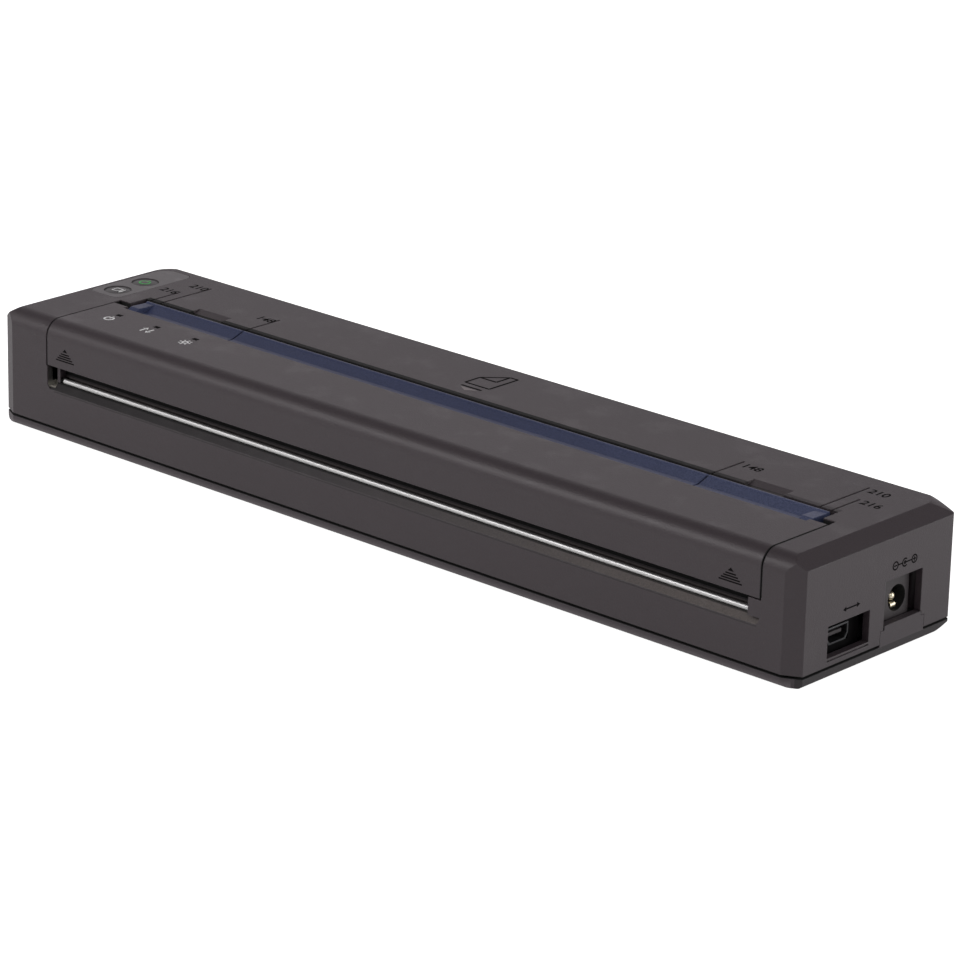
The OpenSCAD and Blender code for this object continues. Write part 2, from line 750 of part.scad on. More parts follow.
module key_board() color("#1f5a36") {
    difference() {
        box([panel_x0 + move_gap, key_post_y[0] - key_post_r, key_board_z],
            [panel_x0 + panel_w - move_gap, power_y + 3, key_board_z + board_t]);
        for (y = key_post_y) rod_z(panel_cx, y, 0, top_z, 0.5);
    }
}

module key_switches() color("#c8c8c8") {
    for (y = [feed_y, power_y]) translate([panel_cx, y, key_board_z + board_t]) {
        box([-2.2, -2.2, 0], [2.2, 2.2, switch_h - key_travel - 0.2]);
        rod_z(0, 0, 0, switch_h - key_travel, 1.1);
    }
}

// ---------------------------------------------------------------- release cover

// Side view of the cover's skin
module cover_skin() {
    intersection() {
        difference() {
            case_side(lip_z, 0, 0);
            case_side(lip_z - 1, wall, top_wall);
        }
        union() {
            translate([front_y - 1, lip_z]) square([cover_depth + 1 - cover_back_r, top_z]);
            translate([front_y - 1, lip_z]) square([cover_depth + 1, top_z - cover_back_r - lip_z]);
            translate([cover_y1 - cover_back_r, top_z - cover_back_r]) circle(cover_back_r);
        }
    }
}

// Side view of an end wall of the cover, with the hinge lug
module cover_cheek() {
    intersection() {
        case_side(lip_z, 0, 0);
        translate([front_y, lip_z]) square([cover_depth - 3, top_z]);
    }
    intersection() {
        case_side(lip_z, 0, 0);
        translate([front_y, hinge_z - lug_r]) square([hinge_y - front_y, 2 * lug_r]);
    }
    translate([hinge_y, hinge_z]) circle(lug_r);
}

module release_cover() color("#403e40") {
    difference() {
        union() {
            along_x(cover_x0, cover_x1) cover_skin();
            for (x = [cover_x0, cover_x1 - lug_w]) along_x(x, x + lug_w) cover_cheek();
            // ledge that carries the paper guide
            box([guide_x0 - 0.5, guide_y0 - 2, guide_seat_z - ledge_t],
                [guide_x1 + 0.5, guide_y0 - tiny, under_top + tiny]);
            box([guide_x0 - 0.5, guide_y0 - 2, guide_seat_z - ledge_t],
                [guide_x1 + 0.5, cover_y1, guide_seat_z]);
            // long rib that stiffens the top
            box([cover_x0 + 2, head_y0 - 2.4, under_top - 3],
                [cover_x1 - 2, head_y0 - 1.2, under_top + tiny]);
            // seats of the springs and bosses of the head's bolts
            for (x = spring_x)
                rod_z(x, spring_y, under_top - 1, under_top + tiny, spring_d / 2 - spring_wire - 0.15);
            for (x = head_bolt_x) rod_z(x, spring_y, bracket_top + 0.4, under_top + tiny, 2);
        }
        box([guide_x0 - 0.1, guide_y0, guide_seat_z], [guide_x1 + 0.1, cover_y1 + 1, top_z + 1]);
        for (x = [cover_x0 - 0.5, cover_x1 - lug_w - 0.5])
            rod_x(x, x + lug_w + 1, hinge_y, hinge_z, hinge_pin_d / 2 + run_gap);
        for (x = led_x)
            box([x - led_a.x, led_y - led_a.y, under_top - 1], [x + led_a.x, led_y + led_a.y, top_z + 1]);
        for (x = head_bolt_x) rod_z(x, spring_y, bracket_top, under_top - 0.6, 0.8);
    }
}

// Side view of the paper guide: a dished face, a round ridge and the skirt of the inner chute
module guide_side(dip, back) {
    ridge = 0.6;
    polygon([[guide_y0, guide_seat_z], [guide_y0, top_z - guide_lip], [guide_y0 + back, top_z - dip],
             [guide_y1 - 2 * ridge, top_z - ridge / 2], [guide_y1 - ridge, top_z],
             [guide_y1 - ridge, guide_seat_z]]);
    translate([guide_y1 - ridge, top_z - ridge]) circle(ridge);
    translate([guide_y1 - guide_t, chute_z]) square([guide_t, top_z - ridge - chute_z]);
    // bend of the inner chute
    difference() {
        translate([chute_y, chute_z]) circle(guide_y1 - chute_y);
        translate([chute_y, chute_z]) circle(guide_y1 - chute_y - guide_t);
        translate([chute_y - 20, chute_z - 20]) square([20, 40]);
        translate([chute_y - 1, chute_z]) square([20, 20]);
    }
}

// The line of a paper width, engraved across the guide at x
module guide_mark(x) {
    difference() {
        box([x - mark_w / 2, guide_y0 - 1, guide_seat_z], [x + mark_w / 2, guide_y1 + 1, top_z + 1]);
        translate([0, 0, -mark_t]) along_x(x - mark_w, x + mark_w) guide_side(guide_dip, guide_fall);
    }
}

module paper_guide() color("#323c58") {
    difference() {
        along_x(guide_x0 + guide_rib, guide_x1 - guide_rib) guide_side(guide_dip, guide_fall);
        for (s = [-1, 1]) guide_mark(path_x + s * width_mark_x[0]);
    }
    for (x = [guide_x0, guide_x1 - guide_rib]) along_x(x, x + guide_rib) guide_side(0.15, 2.7);
}

module thermal_head() color("#e4dfd2") {
    box([head_x0, head_y0, head_z], [head_x1, head_y1, head_z + head_t]);
}

module head_bracket() color("#a9abad") {
    along_x(head_x0, head_x1) difference() {
        translate([head_y0, bracket_z]) square([head_d, bracket_h]);
        translate([head_y0 + bracket_t, bracket_z + bracket_t])
            square([head_d - 2 * bracket_t, bracket_h - bracket_t - shelf_t]);
    }
}

// Points of one ring of a coil's tube
function ring(r, wire, z, a, n) = [for (k = [0 : n - 1])
    let (b = 360 * (k + 0.5) / n, d = r + wire * cos(b)) [d * cos(a), d * sin(a), z + wire * sin(b)]];

// A compression spring with closed ends
module coil_spring(r, wire, h, turns) {
    n = 6;
    steps = turns * 10;
    rise = (h - 2 * wire) / turns;
    pts = [for (s = [0 : steps]) each ring(r - wire, wire, wire + rise * s / 10, 36 * s, n)];
    sides = [for (s = [0 : steps - 1], k = [0 : n - 1])
        let (a = s * n + k, b = s * n + (k + 1) % n) each [[a, b, b + n], [a, b + n, a + n]]];
    foot = [for (k = [0 : n - 1]) n - 1 - k];
    cap = [for (k = [0 : n - 1]) steps * n + k];
    polyhedron(pts, concat(sides, [foot, cap]));
}

module head_springs() color("#b9bcc0") {
    for (x = spring_x) translate([x, spring_y, bracket_top])
        coil_spring(spring_d / 2, spring_wire / 2, under_top - bracket_top, 4);
}

module head_bolts() color("#8f9194") {
    for (x = head_bolt_x) rod_z(x, spring_y, bracket_top, under_top - 0.6, 0.8);
}

module signal_lenses() color("#1a1a1c") {
    for (x = led_x)
        box([x - led_a.x, led_y - led_a.y, under_top - 0.8], [x + led_a.x, led_y + led_a.y, top_z - 0.1]);
}

module signal_board() color("#1f5a36") {
    box([led_x[0] - 4, led_y - 2, under_top - 0.8 - 1], [led_x[2] + 4, led_y + 1.2, under_top - 0.8]);
}

// ---------------------------------------------------------------- paper path

module hinge_pins() color("#b5b8bb") {
    x = cover_x0 - seam - tower_t;
    rod_x(x, x + hinge_pin_l, hinge_y, hinge_z, hinge_pin_d / 2);
    rod_x(2 * path_x - x - hinge_pin_l, 2 * path_x - x, hinge_y, hinge_z, hinge_pin_d / 2);
}

module lower_side() {
    difference() {
        union() {
            // rear wall, bend, bed and trough
            translate([slot_y1, floor_z]) square([chute_t, under_top - floor_z]);
            translate([chute_y, bed_z - chute_t]) square([slot_y1 - chute_y + tiny, chute_r + chute_t]);
            translate([bar_y1, bed_z - chute_t]) square([chute_y - bar_y1 + tiny, chute_t]);
            translate([platen_y, platen_z]) circle(trough_r + chute_t);
            translate([bar_y1 + 1, floor_z]) square([chute_t, bed_z - 0.5 - floor_z]);
        }
        translate([chute_y, chute_z]) circle(chute_r);
        translate([chute_y - 1, chute_z]) square([1 + chute_r, 30]);
        translate([platen_y, platen_z]) circle(trough_r);
        translate([platen_y - 12, bed_z]) square([chute_y - platen_y + 12, 10]);
    }
}

module lower_guide() color("#262527") {
    along_x(frame_x0, frame_x1) lower_side();
    for (x = [frame_x0 + 6 : bed_rib_pitch : frame_x1 - 6])
        box([x, bar_y1, bed_z - 0.3], [x + 0.8, platen_y - trough_r - 0.6, bed_z + bed_rib_h]);
}

module tear_bar() color("#d8dadc") {
    rod_x(slot_x0, slot_x1, bar_y, bar_z, bar_r);
    box([slot_x0, bar_y, ledge_z], [slot_x1, bar_y1, ledge_z + bar_r]);
}

module paper_sensor() color("#202022") {
    box([path_x - 40, bar_y1 + 3.2, bed_z - chute_t - 2], [path_x - 34, bar_y1 + 6.6, bed_z - chute_t]);
}

module frame_side(motor) {
    difference() {
        union() {
            translate([frame_y0, floor_z]) square([guide_back - frame_y0, lip_z - 0.5 - floor_z]);
            if (motor) translate([0, floor_z]) square([rear_y - wall - lip_t - 1, motor_z + 8 - floor_z]);
        }
        translate([platen_y, platen_z]) circle(bush_r);
        if (motor) {
            translate([motor_y, motor_z]) circle(2.6);
            translate([wheel_y, wheel_z]) circle(stud_d / 2);
            for (s = [-1, 1]) translate([motor_y, motor_z + s * motor_screw_r]) circle(screw_d / 2);
        }
    }
}

module frame_foot(x0, x1) {
    difference() {
        box([x0, frame_y0, floor_z], [x1, platen_y + 1, floor_z + frame_t]);
        rod_z((x0 + x1) / 2, frame_screw_y, 0, 9, screw_d / 2);
    }
}

module left_frame() color("#9da0a3") {
    along_x(frame_x0 - frame_t, frame_x0) frame_side(true);
    frame_foot(frame_x0 - frame_t - frame_foot_w, frame_x0 - frame_t);
}

module right_frame() color("#9da0a3") {
    along_x(frame_x1, frame_x1 + frame_t) frame_side(false);
    frame_foot(frame_x1 + frame_t, frame_x1 + frame_t + frame_foot_w);
}

module bush_pair(s) {
    x = s < 0 ? frame_x0 : frame_x1;
    translate([x, platen_y, platen_z]) rotate([0, s * 90, 0]) difference() {
        union() {
            translate([0, 0, -bush_flange_t]) cylinder(r = bush_flange_r, h = bush_flange_t);
            cylinder(r = bush_r, h = frame_t + 0.3);
        }
        translate([0, 0, -5]) cylinder(r = journal_r + run_gap, h = 20);
    }
}

module platen_bushes() color("#ded9c8") {
    bush_pair(-1);
    bush_pair(1);
}

// ---------------------------------------------------------------- platen and drive

// One spur gear, with involute flanks, a tooth centred on angle 0
module gear_plan(teeth, m) {
    rp = m * teeth / 2;
    rb = rp * cos(20);
    ra = rp + m;
    rf = rp - 1.25 * m;
    half_tooth = 90 / teeth - (backlash / 2) / rp * 180 / PI;
    function inv(r) = r <= rb ? 0 : tan(acos(rb / r)) * 180 / PI - acos(rb / r);
    base_a = half_tooth + inv(rp);
    radii = [max(rb, rf), (rb + rp) / 2 > rf ? (rb + rp) / 2 : rf, rp, (rp + ra) / 2, ra];
    flank = [for (r = radii) [r, base_a - inv(r)]];
    polygon([for (k = [0 : teeth - 1]) let (a = 360 * k / teeth) each concat(
        [rf * [cos(a - base_a), sin(a - base_a)]],
        [for (p = flank) p[0] * [cos(a - p[1]), sin(a - p[1])]],
        [for (i = [len(flank) - 1 : -1 : 0]) let (f = flank[i]) f[0] * [cos(a + f[1]), sin(a + f[1])]],
        [rf * [cos(a + base_a), sin(a + base_a)]])]);
}

module spur(x0, x1, y, z, teeth, a) {
    translate([x0, y, z]) rotate([90, 0, 90]) rotate([0, 0, a]) linear_extrude(x1 - x0)
        gear_plan(teeth, gear_m);
}

module platen_core() color("#b4b7ba") {
    rod_x(platen_x0 - 0.5, platen_x1 + 0.5, platen_y, platen_z, core_d / 2);
    rod_x(spur_x0 - 0.1, frame_x1 + frame_t + 0.4, platen_y, platen_z, journal_r);
}

module platen_rubber() color("#2b2b2d") {
    difference() {
        rod_x(platen_x0, platen_x1, platen_y, platen_z, platen_r);
        rod_x(platen_x0 - 1, platen_x1 + 1, platen_y, platen_z, core_d / 2);
    }
}

module platen_gear() color("#e8e4d6") {
    difference() {
        spur(spur_x0, spur_x1, platen_y, platen_z, platen_teeth, wheel_a);
        rod_x(spur_x0 - 5, spur_x1 + 5, platen_y, platen_z, journal_r);
    }
}

module reduction_gear() color("#e8e4d6") {
    difference() {
        union() {
            spur(wheel_x1 - tiny, spur_x1, wheel_y, wheel_z, small_teeth,
                 wheel_a + 180 + 180 / small_teeth);
            spur(wheel_x0, wheel_x1, wheel_y, wheel_z, large_teeth, pinion_a);
        }
        rod_x(wheel_x0 - 5, spur_x1 + 5, wheel_y, wheel_z, stud_d / 2 + run_gap);
    }
}

module gear_stud() color("#b4b7ba") {
    rod_x(wheel_x0 - 1.6, frame_x0, wheel_y, wheel_z, stud_d / 2);
}

module stud_clip() color("#77797c") {
    difference() {
        rod_x(wheel_x0 - 1.2, wheel_x0 - 0.6, wheel_y, wheel_z, stud_d / 2 + 1.2);
        rod_x(wheel_x0 - 2, wheel_x0, wheel_y, wheel_z, stud_d / 2);
    }
}

module motor_pinion() color("#c9b070") {
    difference() {
        spur(wheel_x0 - 0.4, wheel_x1 + 0.2, motor_y, motor_z, pinion_teeth,
             pinion_a + 180 + 180 / pinion_teeth);
        rod_x(wheel_x0 - 5, wheel_x1 + 5, motor_y, motor_z, motor_shaft_d / 2);
    }
}

module motor_shaft() color("#b4b7ba") {
    rod_x(wheel_x0 - 1, frame_x0 + 2, motor_y, motor_z, motor_shaft_d / 2);
}

module feed_motor() color("#8c8f92") {
    difference() {
        union() {
            rod_x(frame_x0, frame_x0 + motor_l, motor_y, motor_z, motor_d / 2);
            rod_x(frame_x0 - frame_t - 0.3, frame_x0, motor_y, motor_z, 2.6);
        }
        rod_x(frame_x0 - 5, frame_x0 + 3, motor_y, motor_z, motor_shaft_d / 2 + run_gap);
        for (s = [-1, 1])
            rod_x(frame_x0 - 1, frame_x0 + 2, motor_y, motor_z + s * motor_screw_r, screw_d / 2);
    }
}

module motor_screws() color("#6f7275") {
    for (s = [-1, 1]) {
        rod_x(frame_x0 - frame_t, frame_x0 + 2, motor_y, motor_z + s * motor_screw_r, screw_d / 2);
        rod_x(frame_x0 - frame_t - 0.9, frame_x0 - frame_t, motor_y, motor_z + s * motor_screw_r, 1.7);
    }
}

// ---------------------------------------------------------------- sockets

module socket_board() color("#1f5a36") {
    box([frame_x1 + frame_t + 0.4, usb_y - usb_w / 2 - 5, socket_board_z],
        [usb_face_x - 0.6, jack_y + jack_w / 2 + 3.6, socket_top]);
}

module data_socket() color("#b9bcc0") {
    difference() {
        along_x(usb_face_x - usb_l, usb_face_x) difference() {
            translate([usb_y, socket_top]) polygon([[-usb_w / 2 + 0.9, 0], [usb_w / 2 - 0.9, 0],
                [usb_w / 2, 1.4], [usb_w / 2, usb_h], [-usb_w / 2, usb_h], [-usb_w / 2, 1.4]]);
            translate([usb_y, socket_top]) polygon([[-usb_w / 2 + 1.2, 0.4], [usb_w / 2 - 1.2, 0.4],
                [usb_w / 2 - 0.4, 1.5], [usb_w / 2 - 0.4, usb_h - 0.4], [-usb_w / 2 + 0.4, usb_h - 0.4],
                [-usb_w / 2 + 0.4, 1.5]]);
        }
    }
    box([usb_face_x - usb_l, usb_y - usb_w / 2 + 0.3, socket_top + 1.4],
        [usb_face_x - usb_l + 0.4, usb_y + usb_w / 2 - 0.3, socket_top + usb_h - 0.2]);
}

module data_tongue() color("#1a1a1c") {
    box([usb_face_x - usb_l + 0.4, usb_y - 2.4, socket_top + 1.7],
        [usb_face_x - 0.8, usb_y + 2.4, socket_top + 2.5]);
}

module power_socket() color("#2a292b") {
    difference() {
        union() {
            box([jack_face_x - jack_l, jack_y - jack_w / 2, socket_top],
                [jack_face_x, jack_y + jack_w / 2, socket_top + jack_h]);
            box([jack_face_x - 1.4, jack_open_y0 + fit_gap, socket_top + 1.2],
                [jack_face_x, jack_y + jack_w / 2, jack_top - fit_gap]);
        }
        rod_x(jack_face_x - jack_l + jack_back, jack_face_x + 1, jack_y, jack_z, jack_hole_d / 2);
    }
}

module power_pin() color("#d8c8a0") {
    tip_x = jack_face_x - 0.8 - jack_pin_d / 2;
    rod_x(jack_face_x - jack_l + jack_back, tip_x, jack_y, jack_z, jack_pin_d / 2);
    translate([tip_x, jack_y, jack_z]) sphere(jack_pin_d / 2);
}

module power_contact() color("#c9ccd0") {
    bend_r = 0.8;
    bottom = jack_z - jack_hole_d / 2 + 0.2;
    along_y(jack_y - contact_w / 2, jack_y + contact_w / 2) {
        translate([jack_face_x - jack_l + jack_back, bottom])
            square([jack_l - jack_back - bend_r - 0.8, 0.4]);
        translate([jack_face_x - bend_r - 0.8, bottom + bend_r]) circle(bend_r);
    }
}

// ---------------------------------------------------------------- power supply

module main_board() color("#1f5a36") {
    box([battery_x0 + board_inset, battery_y0, main_board_z],
        [battery_x1 - board_inset, battery_y1 - 0.5, main_board_z + board_t]);
}

module battery() color("#2f3033") {
    along_x(battery_x0, battery_x1)
        soft_rect([battery_y0, battery_z0], [battery_y1, main_board_z - battery_top], 3);
}

module battery_contacts() color("#222224") {
    box([battery_x1, battery_y0 + 3, floor_z], [battery_x1 + 2.6, battery_y1 - 3, floor_z + 10]);
}

module battery_door() color("#39373a") {
    difference() {
        bay_box(bay_gap + door_seat - move_gap, foot_h, foot_h + floor_t / 2);
        // grip grooves
        for (k = [0 : 3]) box([battery_x1 - 16 + k * 2, (battery_y0 + battery_y1) / 2 - 5, foot_h - 1],
                              [battery_x1 - 15.2 + k * 2, (battery_y0 + battery_y1) / 2 + 5, foot_h + 0.3]);
    }
    bay_box(-move_gap, foot_h + floor_t / 2 - tiny, floor_z - 0.2);
}

// ---------------------------------------------------------------- feet and screws

module rubber_feet() color("#202022") {
    for (p = foot_at) rod_z(p.x, p.y, 0, foot_h + 0.6, foot_d / 2);
}

module case_screws() color("#55575a") {
    for (p = screw_at) {
        rod_z(p.x, p.y, foot_h + 0.8, floor_z + screw_l, screw_d / 2);
        rod_z(p.x, p.y, foot_h, foot_h + 0.8, screw_head_d / 2);
    }
}

module frame_screws() color("#6f7275") {
    for (x = frame_screw_x) {
        rod_z(x, frame_screw_y, floor_z - 1, floor_z + frame_t, screw_d / 2);
        rod_z(x, frame_screw_y, floor_z + frame_t, floor_z + frame_t + 0.8, 1.7);
    }
}

upper_case();
bottom_case();
control_panel();
power_key();
feed_key();
key_board();
key_switches();
release_cover();
paper_guide();
thermal_head();
head_bracket();
head_springs();
head_bolts();
signal_lenses();
signal_board();
hinge_pins();
lower_guide();
tear_bar();
paper_sensor();
left_frame();
right_frame();
platen_bushes();
platen_core();
platen_rubber();
platen_gear();
reduction_gear();
gear_stud();
stud_clip();
motor_pinion();
motor_shaft();
feed_motor();
motor_screws();
socket_board();
data_socket();
data_tongue();
power_socket();
power_pin();
power_contact();
main_board();
battery();
battery_contacts();
battery_door();
rubber_feet();
case_screws();
frame_screws();
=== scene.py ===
"""Finishes, printed marks, light and camera for the portable thermal printer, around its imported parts.

Lengths are metres. Where a number is easier to read in millimetres, it is multiplied by MM.
"""

import json
import math

import bmesh
import bpy
from mathutils import Matrix, Vector


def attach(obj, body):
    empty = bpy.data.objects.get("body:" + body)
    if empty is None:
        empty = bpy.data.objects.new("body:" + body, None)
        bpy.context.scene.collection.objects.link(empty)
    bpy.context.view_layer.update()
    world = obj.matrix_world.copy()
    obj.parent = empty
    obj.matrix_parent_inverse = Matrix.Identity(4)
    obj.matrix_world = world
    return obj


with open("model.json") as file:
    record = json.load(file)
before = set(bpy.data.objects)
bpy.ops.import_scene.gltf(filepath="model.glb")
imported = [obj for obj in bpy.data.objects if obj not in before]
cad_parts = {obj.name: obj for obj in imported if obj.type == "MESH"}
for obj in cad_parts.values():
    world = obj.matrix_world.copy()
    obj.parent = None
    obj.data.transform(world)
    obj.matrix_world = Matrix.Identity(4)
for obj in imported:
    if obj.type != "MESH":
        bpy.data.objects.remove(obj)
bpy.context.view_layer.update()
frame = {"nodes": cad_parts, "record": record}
nodes = frame["nodes"]

MM = 0.001
TOP = 30 * MM  # the case's top face
FRONT = -27.5 * MM  # its front face
RIGHT = 127.5 * MM  # its right end
PATH_X = 3.2 * MM  # the middle of the paper path
COVER_HALF = 113.5 * MM  # half the release cover's length
HEATER_Y = -8.0 * MM  # the print head's heater line
KEY_X = -117.75 * MM
KEY_TOP = TOP - 0.03 * MM
FEED_Y = 3.4 * MM
POWER_Y = 12.9 * MM
# in millimetres: the first signal light, the step from one light to the next, and the signs under them
LIGHT_X, LIGHT_Y, LIGHT_STEP = -101.3, -11.4, 13.55
SIGN_Y, SIGN_SCALE = -14.9, 1.4
# in millimetres: the middle and the radius of the power socket's hole
JACK_Y, JACK_Z, JACK_R = 10.7, 11.1, 3.12
PRINT_RISE = 0.02 * MM  # how proud a printed mark stands
PRINT_DEPTH = 0.05 * MM  # how thick it is


# ---------------------------------------------------------------- shader maths


class Signal:
    """A value in a finish. Python's operators add the Math nodes."""

    def __init__(self, finish, socket):
        self.finish = finish
        self.socket = socket

    def maths(self, operation, *others):
        values = dict(enumerate((self, *others)))
        return self.finish.node("ShaderNodeMath", {"operation": operation}, values)

    def __add__(self, other):
        return self.maths("ADD", other)

    __radd__ = __add__

    def __mul__(self, other):
        return self.maths("MULTIPLY", other)

    def __sub__(self, other):
        return self.maths("SUBTRACT", other)

    def __rsub__(self, other):
        return self.finish.node("ShaderNodeMath", {"operation": "SUBTRACT"}, {0: other, 1: self})

    def __lt__(self, other):
        return self.maths("LESS_THAN", other)

    def __gt__(self, other):
        return self.maths("GREATER_THAN", other)

    def __abs__(self):
        return self.maths("ABSOLUTE")

    def ramp(self, low, high, to_low=0.0, to_high=1.0):
        """Moves the range low to high onto another one, smoothly and clamped."""
        settings = {"interpolation_type": "SMOOTHSTEP"}
        values = {"Value": self, "From Min": low, "From Max": high, "To Min": to_low, "To Max": to_high}
        return self.finish.node("ShaderNodeMapRange", settings, values)


FINISHES = {}  # the finished materials, by the names they were asked for


class Finish:
    """One procedural material on Object coordinates."""

    def __init__(self, name):
        self.name = name
        self.material = bpy.data.materials.new(name)
        self.material.use_nodes = True
        self.tree = self.material.node_tree
        self.shader = self.tree.nodes["Principled BSDF"]
        self.place = self.node("ShaderNodeTexCoord", output="Object")

    def plug(self, socket, value):
        if isinstance(value, Signal):
            self.tree.links.new(value.socket, socket)
        else:
            socket.default_value = value

    def node(self, kind, settings=None, values=None, output=0):
        """Adds a node, sets it up, then fills its sockets with numbers or links."""
        made = self.tree.nodes.new(kind)
        for name, value in (settings or {}).items():
            setattr(made, name, value)
        for name, value in (values or {}).items():
            self.plug(made.inputs[name], value)
        return Signal(self, made.outputs[output])

    def stretched(self, x, y, z):
        """Object coordinates with each axis scaled, for streaks."""
        return self.node("ShaderNodeMapping", None, {"Vector": self.place, "Scale": (x, y, z)})

    def axis(self, name):
        return self.node("ShaderNodeSeparateXYZ", None, {0: self.place}, output=name)

    def band(self, name, low, high):
        """1 where the place along an axis is between two points in millimetres, and 0 elsewhere."""
        place = self.axis(name)
        return (place > low * MM) * (place < high * MM)

    def noise(self, size, detail=2.0, roughness=0.5, vector=None):
        """Noise whose features are about size millimetres across."""
        values = {"Vector": vector or self.place, "Scale": 1 / (size * MM)}
        values.update({"Detail": detail, "Roughness": roughness})
        return self.node("ShaderNodeTexNoise", None, values)

    def cells(self, size, feature="F1"):
        """The distance to cells that are about size millimetres across."""
        values = {"Vector": self.place, "Scale": 1 / (size * MM)}
        return self.node("ShaderNodeTexVoronoi", {"feature": feature}, values, output="Distance")

    def waves(self, along, pitch):
        """A sine wave that repeats every pitch millimetres along a coordinate."""
        turns = along * (2 * math.pi / (pitch * MM))
        return self.node("ShaderNodeMath", {"operation": "SINE"}, {0: turns})

    def blend(self, factor, a, b):
        """A colour between a and b."""
        mix = self.tree.nodes.new("ShaderNodeMix")
        mix.data_type = "RGBA"
        for socket, value in ((mix.inputs[0], factor), (mix.inputs[6], a), (mix.inputs[7], b)):
            self.plug(socket, value)
        return Signal(self, mix.outputs[2])

    def soft_edges(self, radius=0.3):
        """Rounds the edges' shading. Returns the rounded normal and a mask of the edges."""
        rounded = self.node("ShaderNodeBevel", {"samples": 4}, {"Radius": radius * MM})
        true = self.node("ShaderNodeNewGeometry", output="Normal")
        agree = self.node("ShaderNodeVectorMath", {"operation": "DOT_PRODUCT"}, {0: rounded, 1: true},
                          output="Value")
        return rounded, agree.ramp(0.995, 0.80)

    def bump(self, height, depth, normal=None):
        """A Bump node that is depth millimetres deep."""
        values = {"Height": height, "Distance": depth * MM, "Strength": 1.0}
        if normal is not None:
            values["Normal"] = normal
        return self.node("ShaderNodeBump", None, values)

    def lay(self, painted_light, base, rough):
        """Lays a finish's painted light and shade over its colour and its roughness."""
        for mask, tone, duller in painted_light(self) if painted_light else ():
            base = self.blend(mask, base, tone)
            rough = rough + mask * duller
        return base, rough

    def done(self, colour, roughness, normal=None, **fixed):
        """Connects the shader. A fixed value is named as its socket is, in small letters."""
        self.plug(self.shader.inputs["Base Color"], colour)
        self.plug(self.shader.inputs["Roughness"], roughness)
        if normal is not None:
            self.plug(self.shader.inputs["Normal"], normal)
        for name, value in fixed.items():
            self.shader.inputs[name.replace("_", " ").title().replace("Ior", "IOR")].default_value = value
        FINISHES[self.name] = self.material
        return self.material


def shade(red, green, blue):
    """A colour written in the usual 0 to 255 steps."""
    steps = (v / 255 for v in (red, green, blue))
    return (*(v / 12.92 if v <= 0.0405 else ((v + 0.055) / 1.055) ** 2.4 for v in steps), 1.0)


def scaled(colour, factor):
    """A colour that is lighter or darker by a factor."""
    return (*(min(1, v * factor) for v in colour[:3]), 1.0)


# near-black for painted shade in gaps, notches and holes
PAINTED_SHADE_BLACK = shade(4, 4, 4)


# ---------------------------------------------------------------- finishes


def case_painted_light(f):
    """The upper case's painted light and shade: each has a mask, a tone and how much duller it is."""
    along = f.axis("X")
    lit_speckle = f.noise(0.5, 3.0, 0.7)
    slot = f.band("X", -107.1, 113.5) * f.band("Y", 3.0, 4.7) * f.band("Z", 22, 31)
    groove = f.band("Z", 2, 3.05)
    rear_corners = f.band("X", -110.7, -107.1) + f.band("X", 113.4, 117.1)
    notches = rear_corners * f.band("Y", -4.5, -2.1) * f.band("Z", 20, 29.7)
    cover_gap = f.band("X", 117.0, 117.22) * f.band("Y", -27.6, -4.3) * f.band("Z", 19, 31)
    hollow = f.band("X", -112, 120) * f.band("Y", -27.35, -24) * f.band("Z", 11.5, 14.4)
    hollow_edge = f.band("X", -108, 116) * f.band("Z", 12.0, 12.42) * (f.axis("Y") < -26.3 * MM)
    pocket = f.band("X", -110.4, -108.05) * f.band("Y", -27.3, -24.6) * f.band("Z", 13, 18.75)
    return (
        # painted shade: the slot's rear edge nearly black, less so at the right end
        (slot * along.ramp(112 * MM, 60 * MM, 0.3, 1), shade(4, 3, 4), 0.3),
        # painted shade in the gap beside the release cover's right end
        (cover_gap * 0.8, PAINTED_SHADE_BLACK, 0.2),
        # painted shade: a dark line along the lower edge of the hollow under the tear bar
        (hollow_edge * 0.5, shade(14, 13, 13), 0.2),
        # painted shade in the notches at the cover's rear corners
        (notches, PAINTED_SHADE_BLACK, 0.3),
        # painted shade in the parting groove
        (groove, shade(8, 7, 8), 0.3),
        # painted shade in the hollow under the tear bar: darker towards the left end, and over all of it
        (hollow * along.ramp(40 * MM, -110 * MM) * 0.7, shade(6, 5, 6), 0.3),
        (hollow * 0.55, shade(24, 22, 22), 0.2),
        # painted light: lighter speckle in the hollow, more towards the right end
        (hollow * along.ramp(-20 * MM, 110 * MM) * lit_speckle, shade(104, 95, 90), 0.1),
        # painted shade in the hollow's upper part, under the tear bar
        (hollow * f.band("Z", 13.95, 15) * 0.8, shade(14, 13, 13), 0.3),
        # painted light in the pocket left of the exit, lightest towards its floor
        (pocket, shade(60, 57, 56), 0.1),
        (pocket * f.axis("Z").ramp(15.0 * MM, 13.5 * MM), shade(132, 128, 120), 0.0),
    )


def cover_painted_shade(f):
    """Painted shade: the release cover's ends are painted dark where they stand in the gap beside the
    case.
    """
    return ((abs(f.axis("X") - PATH_X) > COVER_HALF - 0.18 * MM, PAINTED_SHADE_BLACK, 0.3),)


